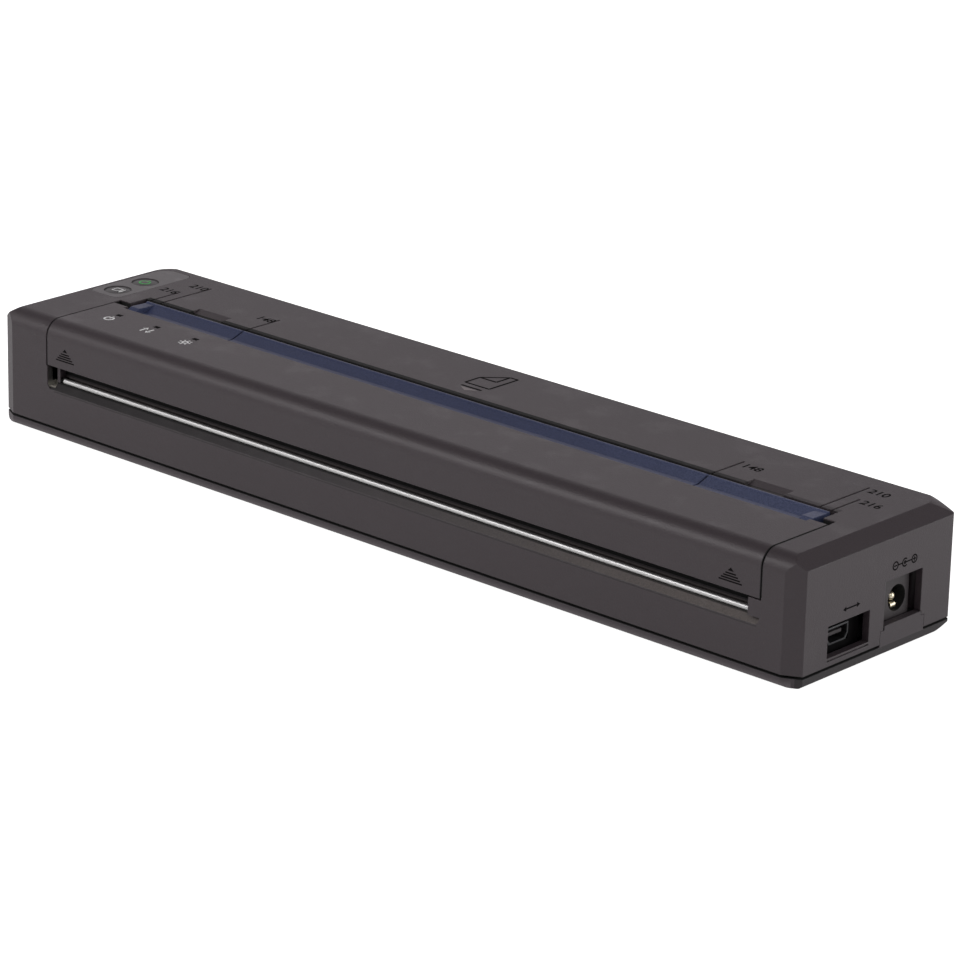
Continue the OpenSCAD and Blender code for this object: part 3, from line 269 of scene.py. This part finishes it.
def tray_painted_light(f):
    """Painted shade on the tray's rim in the groove and on its right end, and a painted reflection of the
    floor on its lower edge at the front and the left end.
    """
    tab = f.band("X", 120, 130) * f.band("Y", 1.5, 18.1)
    middle = f.band("X", -126.4, 130) * f.band("Y", -26.4, 40)
    painted_floor_reflection = f.axis("Z").ramp(2.1 * MM, 0.4 * MM) * (1 - middle)
    right_end = (f.axis("X") > 126.0 * MM) * (f.axis("Z") < 2.32 * MM)
    return (
        # painted shade in the parting groove
        (f.band("Z", 2.32, 3) * (1 - tab), shade(8, 7, 8), 0.3),
        # painted shade: the right end's lower part darker
        (right_end * 0.8, shade(30, 26, 28), 0.1),
        # painted reflection of the floor: lighter towards the bottom at the front and the left end
        (painted_floor_reflection * 0.9, shade(104, 98, 101), 0.0),
    )


def socket_painted_shade(f):
    """Painted shade: the inside of the power socket's round hole, painted nearly black."""
    y, z = f.axis("Y") - JACK_Y * MM, f.axis("Z") - JACK_Z * MM
    hole = (y * y + z * z < (JACK_R * MM) ** 2) * (f.axis("X") > 110 * MM)
    return ((hole, PAINTED_SHADE_BLACK, 0.3),)


def grained_plastic(name, colour, roughness, painted_light):
    """Matt moulded plastic with a spark-eroded grain, soft edges and a little handling sheen."""
    grain = 0.42
    f = Finish(name)
    rounded, edges = f.soft_edges()
    coarse = f.cells(grain)
    fine = f.noise(grain * 0.45, 3.0, 0.6)
    clouds = f.noise(38, 3.0)
    handled = f.noise(9, 4.0, 0.62).ramp(0.52, 0.72)
    dust = (f.noise(0.9, 2.0, 0.7) > 0.74) * 0.35
    height = coarse * 0.6 + fine * 0.6
    tone = clouds * 0.55 + fine * 0.3 + edges * 0.25
    base = f.blend(tone, colour, scaled(colour, 1.32))
    base = f.blend(dust * 0.35, base, shade(118, 112, 110))
    rough = roughness + fine * 0.10 - handled * 0.05 - edges * 0.09
    # lays the painted light and shade given for this piece
    base, rough = f.lay(painted_light, base, rough)
    return f.done(base, rough, f.bump(height, 0.04, rounded), specular_ior_level=0.5)


def smooth_plastic(name, colour, roughness, edge=0.2, wave=5.0, gloss=0.5, painted_light=None):
    """Plainly moulded plastic: faint flow marks and fine scratches."""
    f = Finish(name)
    rounded, edges = f.soft_edges(edge)
    flow = f.noise(wave, 3.0)
    scratch = f.noise(0.5, 2.0, 0.5, f.stretched(0.06, 1, 1)).ramp(0.66, 0.74)
    base = f.blend(flow * 0.4 + edges * 0.4, colour, scaled(colour, 1.3))
    rough = roughness + flow * 0.12 + scratch * 0.12
    # lays the painted light and shade given for this piece
    base, rough = f.lay(painted_light, base, rough)
    normal = f.bump(flow * 0.5 + f.noise(0.3, 2.0) * 0.3, 0.008, rounded)
    return f.done(base, rough, normal, specular_ior_level=gloss)


def guide_blue():
    """Satin navy plastic, with painted shade along the two engraved sheet lines, painted light towards
    the right end, and a polished ridge with a painted highlight.
    """
    f = Finish("guide_blue")
    rounded, edges = f.soft_edges(0.25)
    x, y = f.axis("X"), f.axis("Y")
    flow = f.noise(6, 4.0, 0.55, f.stretched(0.25, 1, 1))
    fine = f.noise(0.22, 2.0).ramp(0.3, 0.7)
    # painted shade along the two engraved sheet lines
    line = abs(abs(x - PATH_X) - 74.3 * MM) < 0.27 * MM
    # the ridge by the slot is polished, and its colour is lifted as a painted highlight
    ridge = y.ramp(1.2 * MM, 2.2 * MM)
    navy = f.blend(flow * 0.3 + fine * 0.7, shade(30, 38, 68), shade(62, 71, 108))
    # painted light: lighter towards the right end, carried by the fine speckle
    navy = f.blend(x.ramp(10 * MM, 110 * MM) * fine * 0.6, navy, shade(96, 104, 136))
    base = f.blend(edges * 0.25 + ridge * 0.25, navy, shade(104, 108, 136))
    base = f.blend(line, base, shade(10, 11, 20))
    rough = 0.42 + flow * 0.10 - ridge * 0.14
    return f.done(base, rough, f.bump(flow * 0.25 + fine * 0.3, 0.03, rounded))


def panel_grey(name, low, high):
    """The keypad's printed film: an even grey with a very fine satin tooth."""
    f = Finish(name)
    rounded, edges = f.soft_edges(0.2)
    tooth = f.noise(0.10, 2.0, 0.6)
    clouds = f.noise(7, 2.0)
    wear = f.noise(2.2, 3.0, 0.6).ramp(0.5, 0.75)
    base = f.blend(clouds * 0.7 + edges * 0.3, low, high)
    rough = 0.38 + tooth * 0.10 - wear * 0.06
    return f.done(base, rough, f.bump(tooth, 0.006, rounded))


def dark_inside(name, colour):
    """Black moulding inside the machine, with tool marks along X and a little paper dust, painted light
    on the strip over the tear bar, and painted shade above 16.15 mm.
    """
    f = Finish(name)
    tool = f.noise(0.35, 2.0, 0.5, f.stretched(0.05, 1, 1))
    dust = f.noise(0.35, 3.0, 0.75).ramp(0.62, 0.78)
    patches = f.noise(14, 3.0).ramp(0.45, 0.7)
    base = f.blend(tool, colour, scaled(colour, 1.5))
    base = f.blend(dust * patches * 0.25, base, shade(120, 116, 112))
    # painted light on the strip seen over the tear bar; painted shade, nearly black, on all of this
    # moulding above 16.15 mm
    lit_apron = (f.axis("Y") < -22.5 * MM) * f.band("Z", 9, 15.75)  # the strip seen over the tear bar
    deep = f.axis("Z") > 16.15 * MM
    base = f.blend(deep, f.blend(lit_apron, base, shade(86, 80, 80)), shade(3, 3, 3))
    rough = 0.55 + tool * 0.15 + deep * 0.2
    return f.done(base, rough, f.bump(tool + dust * 0.4, 0.01), specular_ior_level=0.25)


def polished_steel():
    """The tear bar: bright rolled steel with drawing lines along its length."""
    f = Finish("bar_steel")
    lines = f.noise(0.08, 2.0, 0.5, f.stretched(0.01, 1, 1))
    smear = f.noise(12, 3.0)
    base = f.blend(lines, shade(186, 186, 186), shade(218, 218, 217))
    base = f.blend(f.axis("X") < -106.0 * MM, base, shade(20, 20, 20))  # its end in the pocket's shade
    return f.done(base, 0.42 + lines * 0.08 + smear * 0.05, f.bump(lines, 0.002), metallic=1.0)


def plated_metal(name, low, high, roughness, along=(0.08, 1, 1), spangle=0.0):
    """Plated or drawn metal: streaks along one axis, stains, and zinc spangle where asked."""
    f = Finish(name)
    rounded, edges = f.soft_edges(0.12)
    streak = f.noise(0.18, 3.0, 0.6, f.stretched(*along))
    stain = f.noise(4.5, 4.0, 0.6)
    flakes = f.cells(1.6)
    tone = streak * 0.45 + stain * 0.35 + edges * 0.35 + flakes * spangle
    rough = roughness + streak * 0.14 - edges * 0.08 + flakes * spangle * 0.2
    return f.done(f.blend(tone, low, high), rough, f.bump(streak, 0.004, rounded), metallic=1.0)


def ground_rubber(name, colour, grain=0.25):
    """Rubber with a ground, slightly dusty surface."""
    f = Finish(name)
    grit = f.noise(grain, 4.0, 0.7)
    rings = f.noise(0.12, 2.0, 0.5, f.stretched(1, 0.05, 0.05))
    dust = f.noise(3, 3.0).ramp(0.5, 0.8)
    base = f.blend(grit * 0.5 + dust * 0.25, colour, scaled(colour, 2.2))
    return f.done(base, 0.72 + grit * 0.12, f.bump(grit + rings * 0.5, 0.02))


def natural_acetal(name, colour):
    """Milky gear plastic, a little waxy."""
    f = Finish(name)
    rounded, edges = f.soft_edges(0.08)
    clouds = f.noise(2.2, 3.0)
    grease = f.noise(1.1, 3.0, 0.7).ramp(0.55, 0.75)
    base = f.blend(clouds * 0.6, colour, scaled(colour, 0.82))
    base = f.blend(grease * 0.18, base, shade(120, 100, 66))
    return f.done(base, 0.42 - grease * 0.16, f.bump(clouds, 0.01, rounded))


def circuit_green():
    """Solder mask over copper tracks, with tinned pads."""
    f = Finish("board_green")
    track = f.cells(2.4, "DISTANCE_TO_EDGE") < 0.07
    pads = f.cells(3.1) < 0.13
    weave = f.waves(f.axis("X"), 0.7) * f.waves(f.axis("Y"), 0.7)
    base = f.blend(track, shade(22, 82, 46), shade(34, 110, 62))
    base = f.blend(pads, base, shade(196, 192, 180))
    rough = 0.30 + weave * 0.04 + pads * 0.05
    return f.done(base, rough, f.bump(track * 0.6 + pads * 0.9 + weave * 0.1, 0.03))


def glazed_ceramic():
    """The print head's plate: glazed ceramic with the dark heater line under the platen."""
    f = Finish("head_ceramic")
    from_heater = f.axis("Y") - HEATER_Y
    line = abs(from_heater) < 0.25 * MM
    glaze = abs(from_heater) < 1.1 * MM
    leads = (f.waves(f.axis("X"), 0.5) > 0.2) * (abs(from_heater + 2.0 * MM) < 2.6 * MM)
    clouds = f.noise(5, 3.0)
    base = f.blend(clouds * 0.6, shade(214, 208, 190), shade(196, 190, 170))
    base = f.blend(leads * 0.55, base, shade(168, 150, 96))
    base = f.blend(glaze * 0.5, base, shade(150, 146, 134))
    base = f.blend(line, base, shade(46, 38, 34))
    return f.done(base, 0.30 - glaze * 0.18, f.bump(glaze * 0.6 + leads * 0.2, 0.02))


def print_ink(name, low, high, roughness=0.55, gloss=0.4):
    """A printed mark, with the slightly uneven cover of pad printing."""
    f = Finish(name)
    cover = f.noise(0.25, 3.0, 0.6)
    tone = f.blend(cover, low, high)
    return f.done(tone, roughness + cover * 0.1, f.bump(cover, 0.004), specular_ior_level=gloss)


grained_plastic("case_black", shade(54, 46, 50), 0.42, case_painted_light)
grained_plastic("base_black", shade(58, 51, 55), 0.50, tray_painted_light)
grained_plastic("cover_black", shade(55, 47, 51), 0.40, cover_painted_shade)
guide_blue()
panel_grey("panel_grey", shade(84, 80, 82), shade(94, 90, 92))
panel_grey("key_grey", shade(46, 44, 45), shade(56, 54, 55))
dark_inside("inner_black", shade(46, 43, 45))
smooth_plastic("lens_smoke", shade(3, 3, 4), 0.5, 0.1, gloss=0.15)
smooth_plastic("board_black", shade(14, 14, 15), 0.5, 0.1, 2.0)
smooth_plastic("socket_black", shade(58, 53, 55), 0.45, painted_light=socket_painted_shade)
smooth_plastic("battery_black", shade(40, 40, 44), 0.40)
natural_acetal("bush_plastic", shade(216, 210, 194))
natural_acetal("gear_plastic", shade(224, 220, 206))
ground_rubber("platen_rubber", shade(38, 38, 39))
ground_rubber("foot_rubber", shade(30, 30, 31), 0.18)
circuit_green()
glazed_ceramic()
polished_steel()
plated_metal("switch_metal", shade(150, 150, 150), shade(204, 204, 202), 0.28, (1, 1, 0.1))
plated_metal("bracket_aluminium", shade(160, 162, 165), shade(206, 208, 210), 0.36)
plated_metal("spring_steel", shade(140, 143, 148), shade(196, 199, 203), 0.22, (1, 1, 0.2))
plated_metal("bolt_steel", shade(120, 122, 126), shade(186, 188, 192), 0.30, (1, 1, 0.1))
plated_metal("pin_steel", shade(164, 166, 170), shade(214, 216, 220), 0.20, (1, 0.1, 0.1))
plated_metal("frame_steel", shade(138, 141, 145), shade(188, 190, 194), 0.34, (1, 0.3, 0.3), 0.35)
plated_metal("pinion_brass", shade(168, 138, 72), shade(214, 186, 116), 0.26, (1, 0.2, 0.2))
plated_metal("motor_steel", shade(118, 121, 125), shade(172, 175, 178), 0.34, (0.1, 1, 1))
plated_metal("socket_metal", shade(66, 66, 68), shade(104, 104, 106), 0.42, (0.1, 1, 1))
plated_metal("contact_metal", shade(214, 200, 166), shade(246, 240, 224), 0.30, (0.1, 1, 1))
plated_metal("screw_steel", shade(66, 68, 71), shade(118, 120, 124), 0.38, (1, 1, 0.1))
WHITE_PRINT = print_ink("white_print", shade(232, 232, 232), shade(250, 250, 250))
GREEN_PRINT = print_ink("green_print", shade(62, 176, 84), shade(92, 206, 108))
DARK_MARK = print_ink("dark_mark", shade(6, 5, 6), shade(12, 10, 11), 0.85, 0.1)
# painted highlight for the lit facet of the engraved feed arrow
PAINTED_HIGHLIGHT_MARK = print_ink("painted_highlight_mark", shade(120, 112, 113), shade(142, 134, 135), 0.5)

for piece in frame["record"]["subparts"]:
    node = nodes[piece["node"]]
    node.data.materials.clear()
    node.data.materials.append(FINISHES[piece["material_slot"]])


# ---------------------------------------------------------------- new pieces


def new_object(name, shape, finish):
    """Makes an object of a bmesh, which it uses up."""
    solid = bpy.data.meshes.new(name)
    shape.to_mesh(solid)
    shape.free()
    made = bpy.data.objects.new(name, solid)
    bpy.context.scene.collection.objects.link(made)
    solid.materials.append(finish)
    return made


def add_piece(name, shape, finish, body):
    """A new piece that rides with a body."""
    piece = new_object(name, shape, finish)
    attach(piece, body)


def on_top(x, y, z=TOP):
    """Where a mark drawn in X and Y lies on an upward face."""
    return Matrix.Translation((x, y, z))


def on_front(x, z):
    """Where a mark lies on the front face, read from the front."""
    return Matrix.Translation((x, FRONT, z)) @ Matrix.Rotation(math.pi / 2, 4, "X")


def on_right(y, z):
    """Where a mark lies on the right end, read from the right."""
    upright = Matrix.Rotation(math.pi / 2, 4, "Z") @ Matrix.Rotation(math.pi / 2, 4, "X")
    return Matrix.Translation((RIGHT, y, z)) @ upright


class Mark:
    """A flat mark built from bars, rings and corners, drawn in millimetres on its own plane."""

    def __init__(self):
        self.mesh = bmesh.new()

    def bar(self, x0, y0, x1, y1, width):
        """A straight stroke with square ends."""
        length = math.hypot(x1 - x0, y1 - y0)
        turn = Matrix.Rotation(math.atan2(y1 - y0, x1 - x0), 4, "Z")
        middle = Matrix.Translation(((x0 + x1) / 2, (y0 + y1) / 2, 0))
        size = Matrix.Diagonal((length, width, 1, 1))
        bmesh.ops.create_cube(self.mesh, size=1.0, matrix=middle @ turn @ size)
        return self

    def path(self, points, width):
        """Strokes from point to point."""
        for a, b in zip(points, points[1:]):
            self.bar(*a, *b, width)
        return self

    def arc(self, x, y, radius, width, start=0.0, sweep=360.0):
        """A round stroke, from the angle start, counted from the X axis."""
        ring = bmesh.new()
        corners = [(radius - width / 2, 0, -0.5), (radius + width / 2, 0, -0.5),
                   (radius + width / 2, 0, 0.5), (radius - width / 2, 0, 0.5)]
        face = ring.faces.new([ring.verts.new(c) for c in corners])
        first = Matrix.Rotation(math.radians(start), 3, "Z")
        bmesh.ops.rotate(ring, verts=ring.verts, cent=(0, 0, 0), matrix=first)
        full = sweep >= 360.0
        geometry = list(face.edges) if full else [face, *face.edges]
        if full:
            bmesh.ops.delete(ring, geom=[face], context="FACES_ONLY")
        bmesh.ops.spin(ring, geom=geometry, cent=(0, 0, 0), axis=(0, 0, 1), angle=math.radians(sweep),
                       steps=max(6, int(sweep / 12)), use_merge=full)
        bmesh.ops.remove_doubles(ring, verts=ring.verts, dist=1e-5)
        if not full:
            inner = [g for g in ring.faces if all(len(e.link_faces) > 2 for e in g.edges)]
            bmesh.ops.delete(ring, geom=inner, context="FACES_ONLY")
        bmesh.ops.recalc_face_normals(ring, faces=ring.faces)
        bmesh.ops.translate(ring, verts=ring.verts, vec=(x, y, 0))
        self.take(ring)
        return self

    def corner(self, points):
        """A filled shape with straight sides."""
        shape = bmesh.new()
        face = shape.faces.new([shape.verts.new((x, y, -0.5)) for x, y in points])
        made = bmesh.ops.extrude_face_region(shape, geom=[face])["geom"]
        raised = [g for g in made if isinstance(g, bmesh.types.BMVert)]
        bmesh.ops.translate(shape, verts=raised, vec=(0, 0, 1))
        bmesh.ops.recalc_face_normals(shape, faces=shape.faces)
        self.take(shape)
        return self

    def figures(self, text, x, y, height):
        """Plain figures, made a mesh at once. A figure is 0.7 of its type size high."""
        curve = bpy.data.curves.new("figures", "FONT")
        curve.body = text
        curve.size = height / 0.7
        curve.offset = 0.05
        curve.extrude = 0.5
        curve.resolution_u = 3
        written = bpy.data.objects.new("figures", curve)
        bpy.context.scene.collection.objects.link(written)
        bpy.context.view_layer.update()
        ready = written.evaluated_get(bpy.context.evaluated_depsgraph_get())
        solid = bpy.data.meshes.new_from_object(ready)
        bpy.data.objects.remove(written)
        shape = bmesh.new()
        shape.from_mesh(solid)
        bpy.data.meshes.remove(solid)
        bmesh.ops.remove_doubles(shape, verts=shape.verts, dist=1e-5)
        bmesh.ops.translate(shape, verts=shape.verts, vec=(x, y, 0))
        self.take(shape)
        return self

    def take(self, shape):
        """Adds a shape to this mark."""
        solid = bpy.data.meshes.new("part")
        shape.to_mesh(solid)
        shape.free()
        self.mesh.from_mesh(solid)
        bpy.data.meshes.remove(solid)

    def put(self, name, place, ink, body, slot, scale=1.0):
        """Lays the mark on its face, a hair proud of it, and lets it ride with that body."""
        flat = Matrix.Diagonal((MM * scale, MM * scale, PRINT_DEPTH, 1))
        sink = Matrix.Translation((0, 0, PRINT_RISE - PRINT_DEPTH / 2))
        bmesh.ops.transform(self.mesh, matrix=place @ sink @ flat, verts=self.mesh.verts)
        add_piece(name, self.mesh, ink, body)


def lift_marks():
    """The stepped arrowheads that show where the release cover is lifted."""
    for name, x, z in (("lift_mark_left", -103.8, 20.85), ("lift_mark_right", 108.4, 20.5)):
        mark = Mark().corner([(-0.85, 2.35), (0.85, 2.35), (0, 3.2)])
        for row in range(4):
            height = row * 0.6
            mark.bar(height - 3.25, height, 3.25 - height, height, 0.32)
        mark.put(name, on_front(x * MM, z * MM), DARK_MARK, "cover", "lens_smoke")


def sheet_widths():
    """Plain figures in millimetres beside the engraved sheet lines."""
    for width, left, right, y in (("148", -71.1, 77.5, 11.6), ("210", -101.9, 108.3, 18.4),
                                  ("216", -105.2, 111.6, 11.2)):
        for side, x, start in (("left", left, -5.6), ("right", right, 1.2)):
            mark = Mark().figures(width, start, -0.2, 2.6)
            mark.put(f"width_{width}_{side}", on_top(x * MM, y * MM), DARK_MARK, "case", "lens_smoke")


def page_mark():
    """The sheet with a folded corner that shows which way paper goes in, and the engraved arrow's lit
    facet as a painted highlight.
    """
    page = Mark()
    page.path([(-0.4, 21.8), (2.0, 21.8), (2.0, 11.6), (-5.7, 11.6), (-5.7, 16.8), (-0.4, 21.8)], 0.6)
    page.path([(-5.6, 16.8), (-0.4, 16.8), (-0.4, 21.6)], 0.6)
    page.bar(-5.0, 9.5, 1.4, 9.5, 0.7)
    page.put("page_mark", on_top(0, 0), DARK_MARK, "case", "lens_smoke")
    # painted highlight: the lit facet of the engraved arrow, drawn as a pale mark
    arrow = Mark().corner([(-4.5, 8.7), (-1.8, 7.0), (0.9, 8.7)])
    arrow.put("feed_arrow_highlight", on_top(0, 0), PAINTED_HIGHLIGHT_MARK, "case", "panel_grey")


def light_signs():
    """The three lights' dark windows, and small white signs under them: on, data and state."""
    windows = Mark()
    for light in range(3):
        windows.bar(light * LIGHT_STEP - 0.8, 0, light * LIGHT_STEP + 0.8, 0, 1.1)
    windows.put("light_windows", on_top(LIGHT_X * MM, LIGHT_Y * MM), DARK_MARK, "cover", "lens_smoke")
    stroke = 0.36
    on = Mark().arc(0, 0, 0.85, stroke, 120, 300).bar(0, 0.1, 0, 1.25, stroke)
    data = Mark()
    for x, way in ((-0.75, 1), (0.75, -1)):
        data.bar(x, -1.0 * way, x, 0.55 * way, stroke)
        data.corner([(x - 0.62, 0.35 * way), (x + 0.62, 0.35 * way), (x, 1.2 * way)])
    state = Mark().arc(0, 0, 0.5, stroke)
    for ray in range(8):
        a = ray * math.pi / 4
        state.bar(0.85 * math.cos(a), 0.85 * math.sin(a), 1.25 * math.cos(a), 1.25 * math.sin(a), 0.3)
    for light, (name, sign) in enumerate((("sign_on", on), ("sign_data", data), ("sign_state", state))):
        place = on_top((LIGHT_X + light * LIGHT_STEP) * MM, SIGN_Y * MM)
        sign.put(name, place, WHITE_PRINT, "cover", "gear_plastic", SIGN_SCALE)


def key_signs():
    """The green on sign and the white sheet sign on the two keys."""
    power = Mark().arc(0, -0.1, 1.35, 0.42, 122, 296).bar(0, 0.35, 0, 1.9, 0.42)
    power.put("sign_power_key", on_top(KEY_X, POWER_Y, KEY_TOP), GREEN_PRINT, "power_key", "board_green")
    sheet = Mark()
    sheet.path([(-1.2, -0.9), (-1.2, 1.1), (0.9, 1.1), (0.9, -0.2), (0.2, -0.9), (-1.2, -0.9)], 0.3)
    sheet.bar(1.6, 1.2, 1.6, -0.5, 0.3)
    sheet.corner([(1.05, -0.45), (2.15, -0.45), (1.6, -1.3)])
    sheet.put("sign_feed_key", on_top(KEY_X, FEED_Y, KEY_TOP), WHITE_PRINT, "feed_key", "gear_plastic")


def socket_signs():
    """Plain signs over the sockets: a double arrow for data, and the plug's poles for power."""
    data = Mark().bar(-2.0, 0, 2.0, 0, 0.36)
    data.corner([(-3.0, 0), (-1.9, -0.6), (-1.9, 0.6)]).corner([(3.0, 0), (1.9, 0.6), (1.9, -0.6)])
    data.put("sign_data_socket", on_right(-9.0 * MM, 14.9 * MM), DARK_MARK, "case", "lens_smoke")
    poles = Mark().arc(-3.4, 0, 0.9, 0.34).bar(-3.95, 0, -2.85, 0, 0.3)
    poles.arc(0, 0, 0.9, 0.34, 45, 270).arc(0, 0, 0.25, 0.36)
    poles.arc(3.4, 0, 0.9, 0.34).bar(2.85, 0, 3.95, 0, 0.3).bar(3.4, -0.55, 3.4, 0.55, 0.3)
    poles.bar(-2.5, 0, -0.95, 0, 0.3).bar(0.4, 0, 2.5, 0, 0.3)
    poles.put("sign_power_socket", on_right(9.6 * MM, 20.4 * MM), DARK_MARK, "case", "lens_smoke")


def data_shade_screen():
    """A thin black screen round the data socket's shell, which closes the view into the case: a black
    sheet that stands in for the shade inside it.
    """
    screen_x, thickness = 124.15, 0.3
    bars = ((-17.4, -2.0, 10.15, 13.0), (-17.4, -13.6, 4.0, 10.15),
            (-5.7, -2.0, 4.0, 10.15), (-13.6, -5.7, 4.0, 5.85))
    shape = bmesh.new()
    for y0, y1, z0, z1 in bars:
        size = Matrix.Diagonal((thickness * MM, (y1 - y0) * MM, (z1 - z0) * MM, 1))
        middle = Matrix.Translation((screen_x * MM, (y0 + y1) / 2 * MM, (z0 + z1) / 2 * MM))
        bmesh.ops.create_cube(shape, size=1.0, matrix=middle @ size)
    add_piece("data_shade_screen", shape, DARK_MARK, "case")


data_shade_screen()
lift_marks()
sheet_widths()
page_mark()
light_signs()
key_signs()
socket_signs()


# ---------------------------------------------------------------- studio


def lay_floor():
    """A pale floor that the camera sees as white, with the printer's soft shadow."""
    sheet = bmesh.new()
    bmesh.ops.create_grid(sheet, x_segments=8, y_segments=8, size=4.0)
    f = Finish("floor_pale")
    speck = f.noise(2.0, 3.0)
    f.plug(f.shader.inputs["Base Color"], f.blend(speck, shade(232, 232, 232), shade(236, 236, 236)))
    f.plug(f.shader.inputs["Roughness"], 0.8)
    f.shader.inputs["Specular IOR Level"].default_value = 0.2
    seen = f.node("ShaderNodeLightPath", output="Is Camera Ray")
    mirrored = f.node("ShaderNodeLightPath", output="Is Glossy Ray")
    strength = seen * 0.9 + mirrored * 0.4
    glow = f.node("ShaderNodeEmission", None, {"Color": (1, 1, 1, 1), "Strength": strength})
    both = f.tree.nodes.new("ShaderNodeAddShader")
    f.tree.links.new(f.shader.outputs[0], both.inputs[0])
    f.tree.links.new(glow.socket, both.inputs[1])
    f.tree.links.new(both.outputs[0], f.tree.nodes["Material Output"].inputs["Surface"])
    new_object("floor", sheet, f.material)


def hang_light(name, place, aim, size, watts, tint):
    """A soft box that looks from place to aim."""
    lamp = bpy.data.lights.new(name, "AREA")
    lamp.shape = "RECTANGLE"
    lamp.size, lamp.size_y = size
    lamp.energy = watts
    lamp.color = tint
    holder = bpy.data.objects.new(name, lamp)
    holder.location = place
    holder.rotation_euler = (Vector(aim) - Vector(place)).to_track_quat("-Z", "Y").to_euler()
    bpy.context.scene.collection.objects.link(holder)


def light_room():
    """Even room light, white where the camera sees it, straight or through something clear."""
    world = bpy.data.worlds.new("room")
    bpy.context.scene.world = world
    world.use_nodes = True
    tree = world.node_tree
    path = tree.nodes.new("ShaderNodeLightPath")
    seen = tree.nodes.new("ShaderNodeMath")
    seen.operation = "MAXIMUM"
    tree.links.new(path.outputs["Is Camera Ray"], seen.inputs[0])
    tree.links.new(path.outputs["Is Transmission Ray"], seen.inputs[1])
    level = tree.nodes.new("ShaderNodeMapRange")
    level.inputs["To Min"].default_value = 0.17
    level.inputs["To Max"].default_value = 1.0
    tree.links.new(seen.outputs[0], level.inputs["Value"])
    room = tree.nodes["Background"]
    room.inputs["Color"].default_value = (1, 1, 1, 1)
    tree.links.new(level.outputs[0], room.inputs["Strength"])


def aim_camera():
    """The photograph's viewpoint, found from the case's edges."""
    yaw, pitch, roll = (math.radians(v) for v in (-42.012, -19.338, 1.333))
    ahead = Vector((math.sin(yaw) * math.cos(pitch), math.cos(yaw) * math.cos(pitch), math.sin(pitch)))
    side = ahead.cross(Vector((0, 0, 1))).normalized()
    over = side.cross(ahead)
    right = math.cos(roll) * side + math.sin(roll) * over
    up = -math.sin(roll) * side + math.cos(roll) * over
    lens = bpy.data.cameras.new("camera")
    lens.sensor_width = 36
    lens.lens = 4334.484 * 36 / 960
    lens.clip_start, lens.clip_end = 0.01, 50
    camera = bpy.data.objects.new("camera", lens)
    turn = Matrix((right, up, -ahead)).transposed().to_4x4()
    camera.matrix_world = Matrix.Translation((0.65448, -0.715238, 0.349947)) @ turn
    bpy.context.scene.collection.objects.link(camera)
    bpy.context.scene.camera = camera


ORIGIN = (0, 0, 0)
RIGHT_HALF = (0.05, 0, 0)  # a little to the right of the middle
LIGHTS = (
    ("box_behind", (-1.3, 1.5, 0.65), ORIGIN, (3.2, 1.0), 6.9, (1.0, 0.93, 0.97)),
    ("box_right", (1.2, 0.8, 0.3), RIGHT_HALF, (0.8, 0.8), 9.0, (1, 1, 1)),
    ("box_left", (-1.7, -0.7, 0.5), ORIGIN, (1.2, 0.8), 4.0, (1.0, 0.96, 0.98)),
    ("box_front", (-0.2, -1.7, 0.6), ORIGIN, (1.0, 0.6), 1.5, (1, 1, 1)),
    ("box_edge", (-0.42, -0.62, 0.52), RIGHT_HALF, (0.2, 0.2), 2.1, (1.0, 0.97, 0.98)),
    ("box_near", (0.8, -0.6, 0.75), RIGHT_HALF, (0.5, 0.5), 2.2, (1, 1, 1)),
)
lay_floor()
light_room()
for light in LIGHTS:
    hang_light(*light)
aim_camera()
bpy.context.scene.view_settings.view_transform = "Standard"
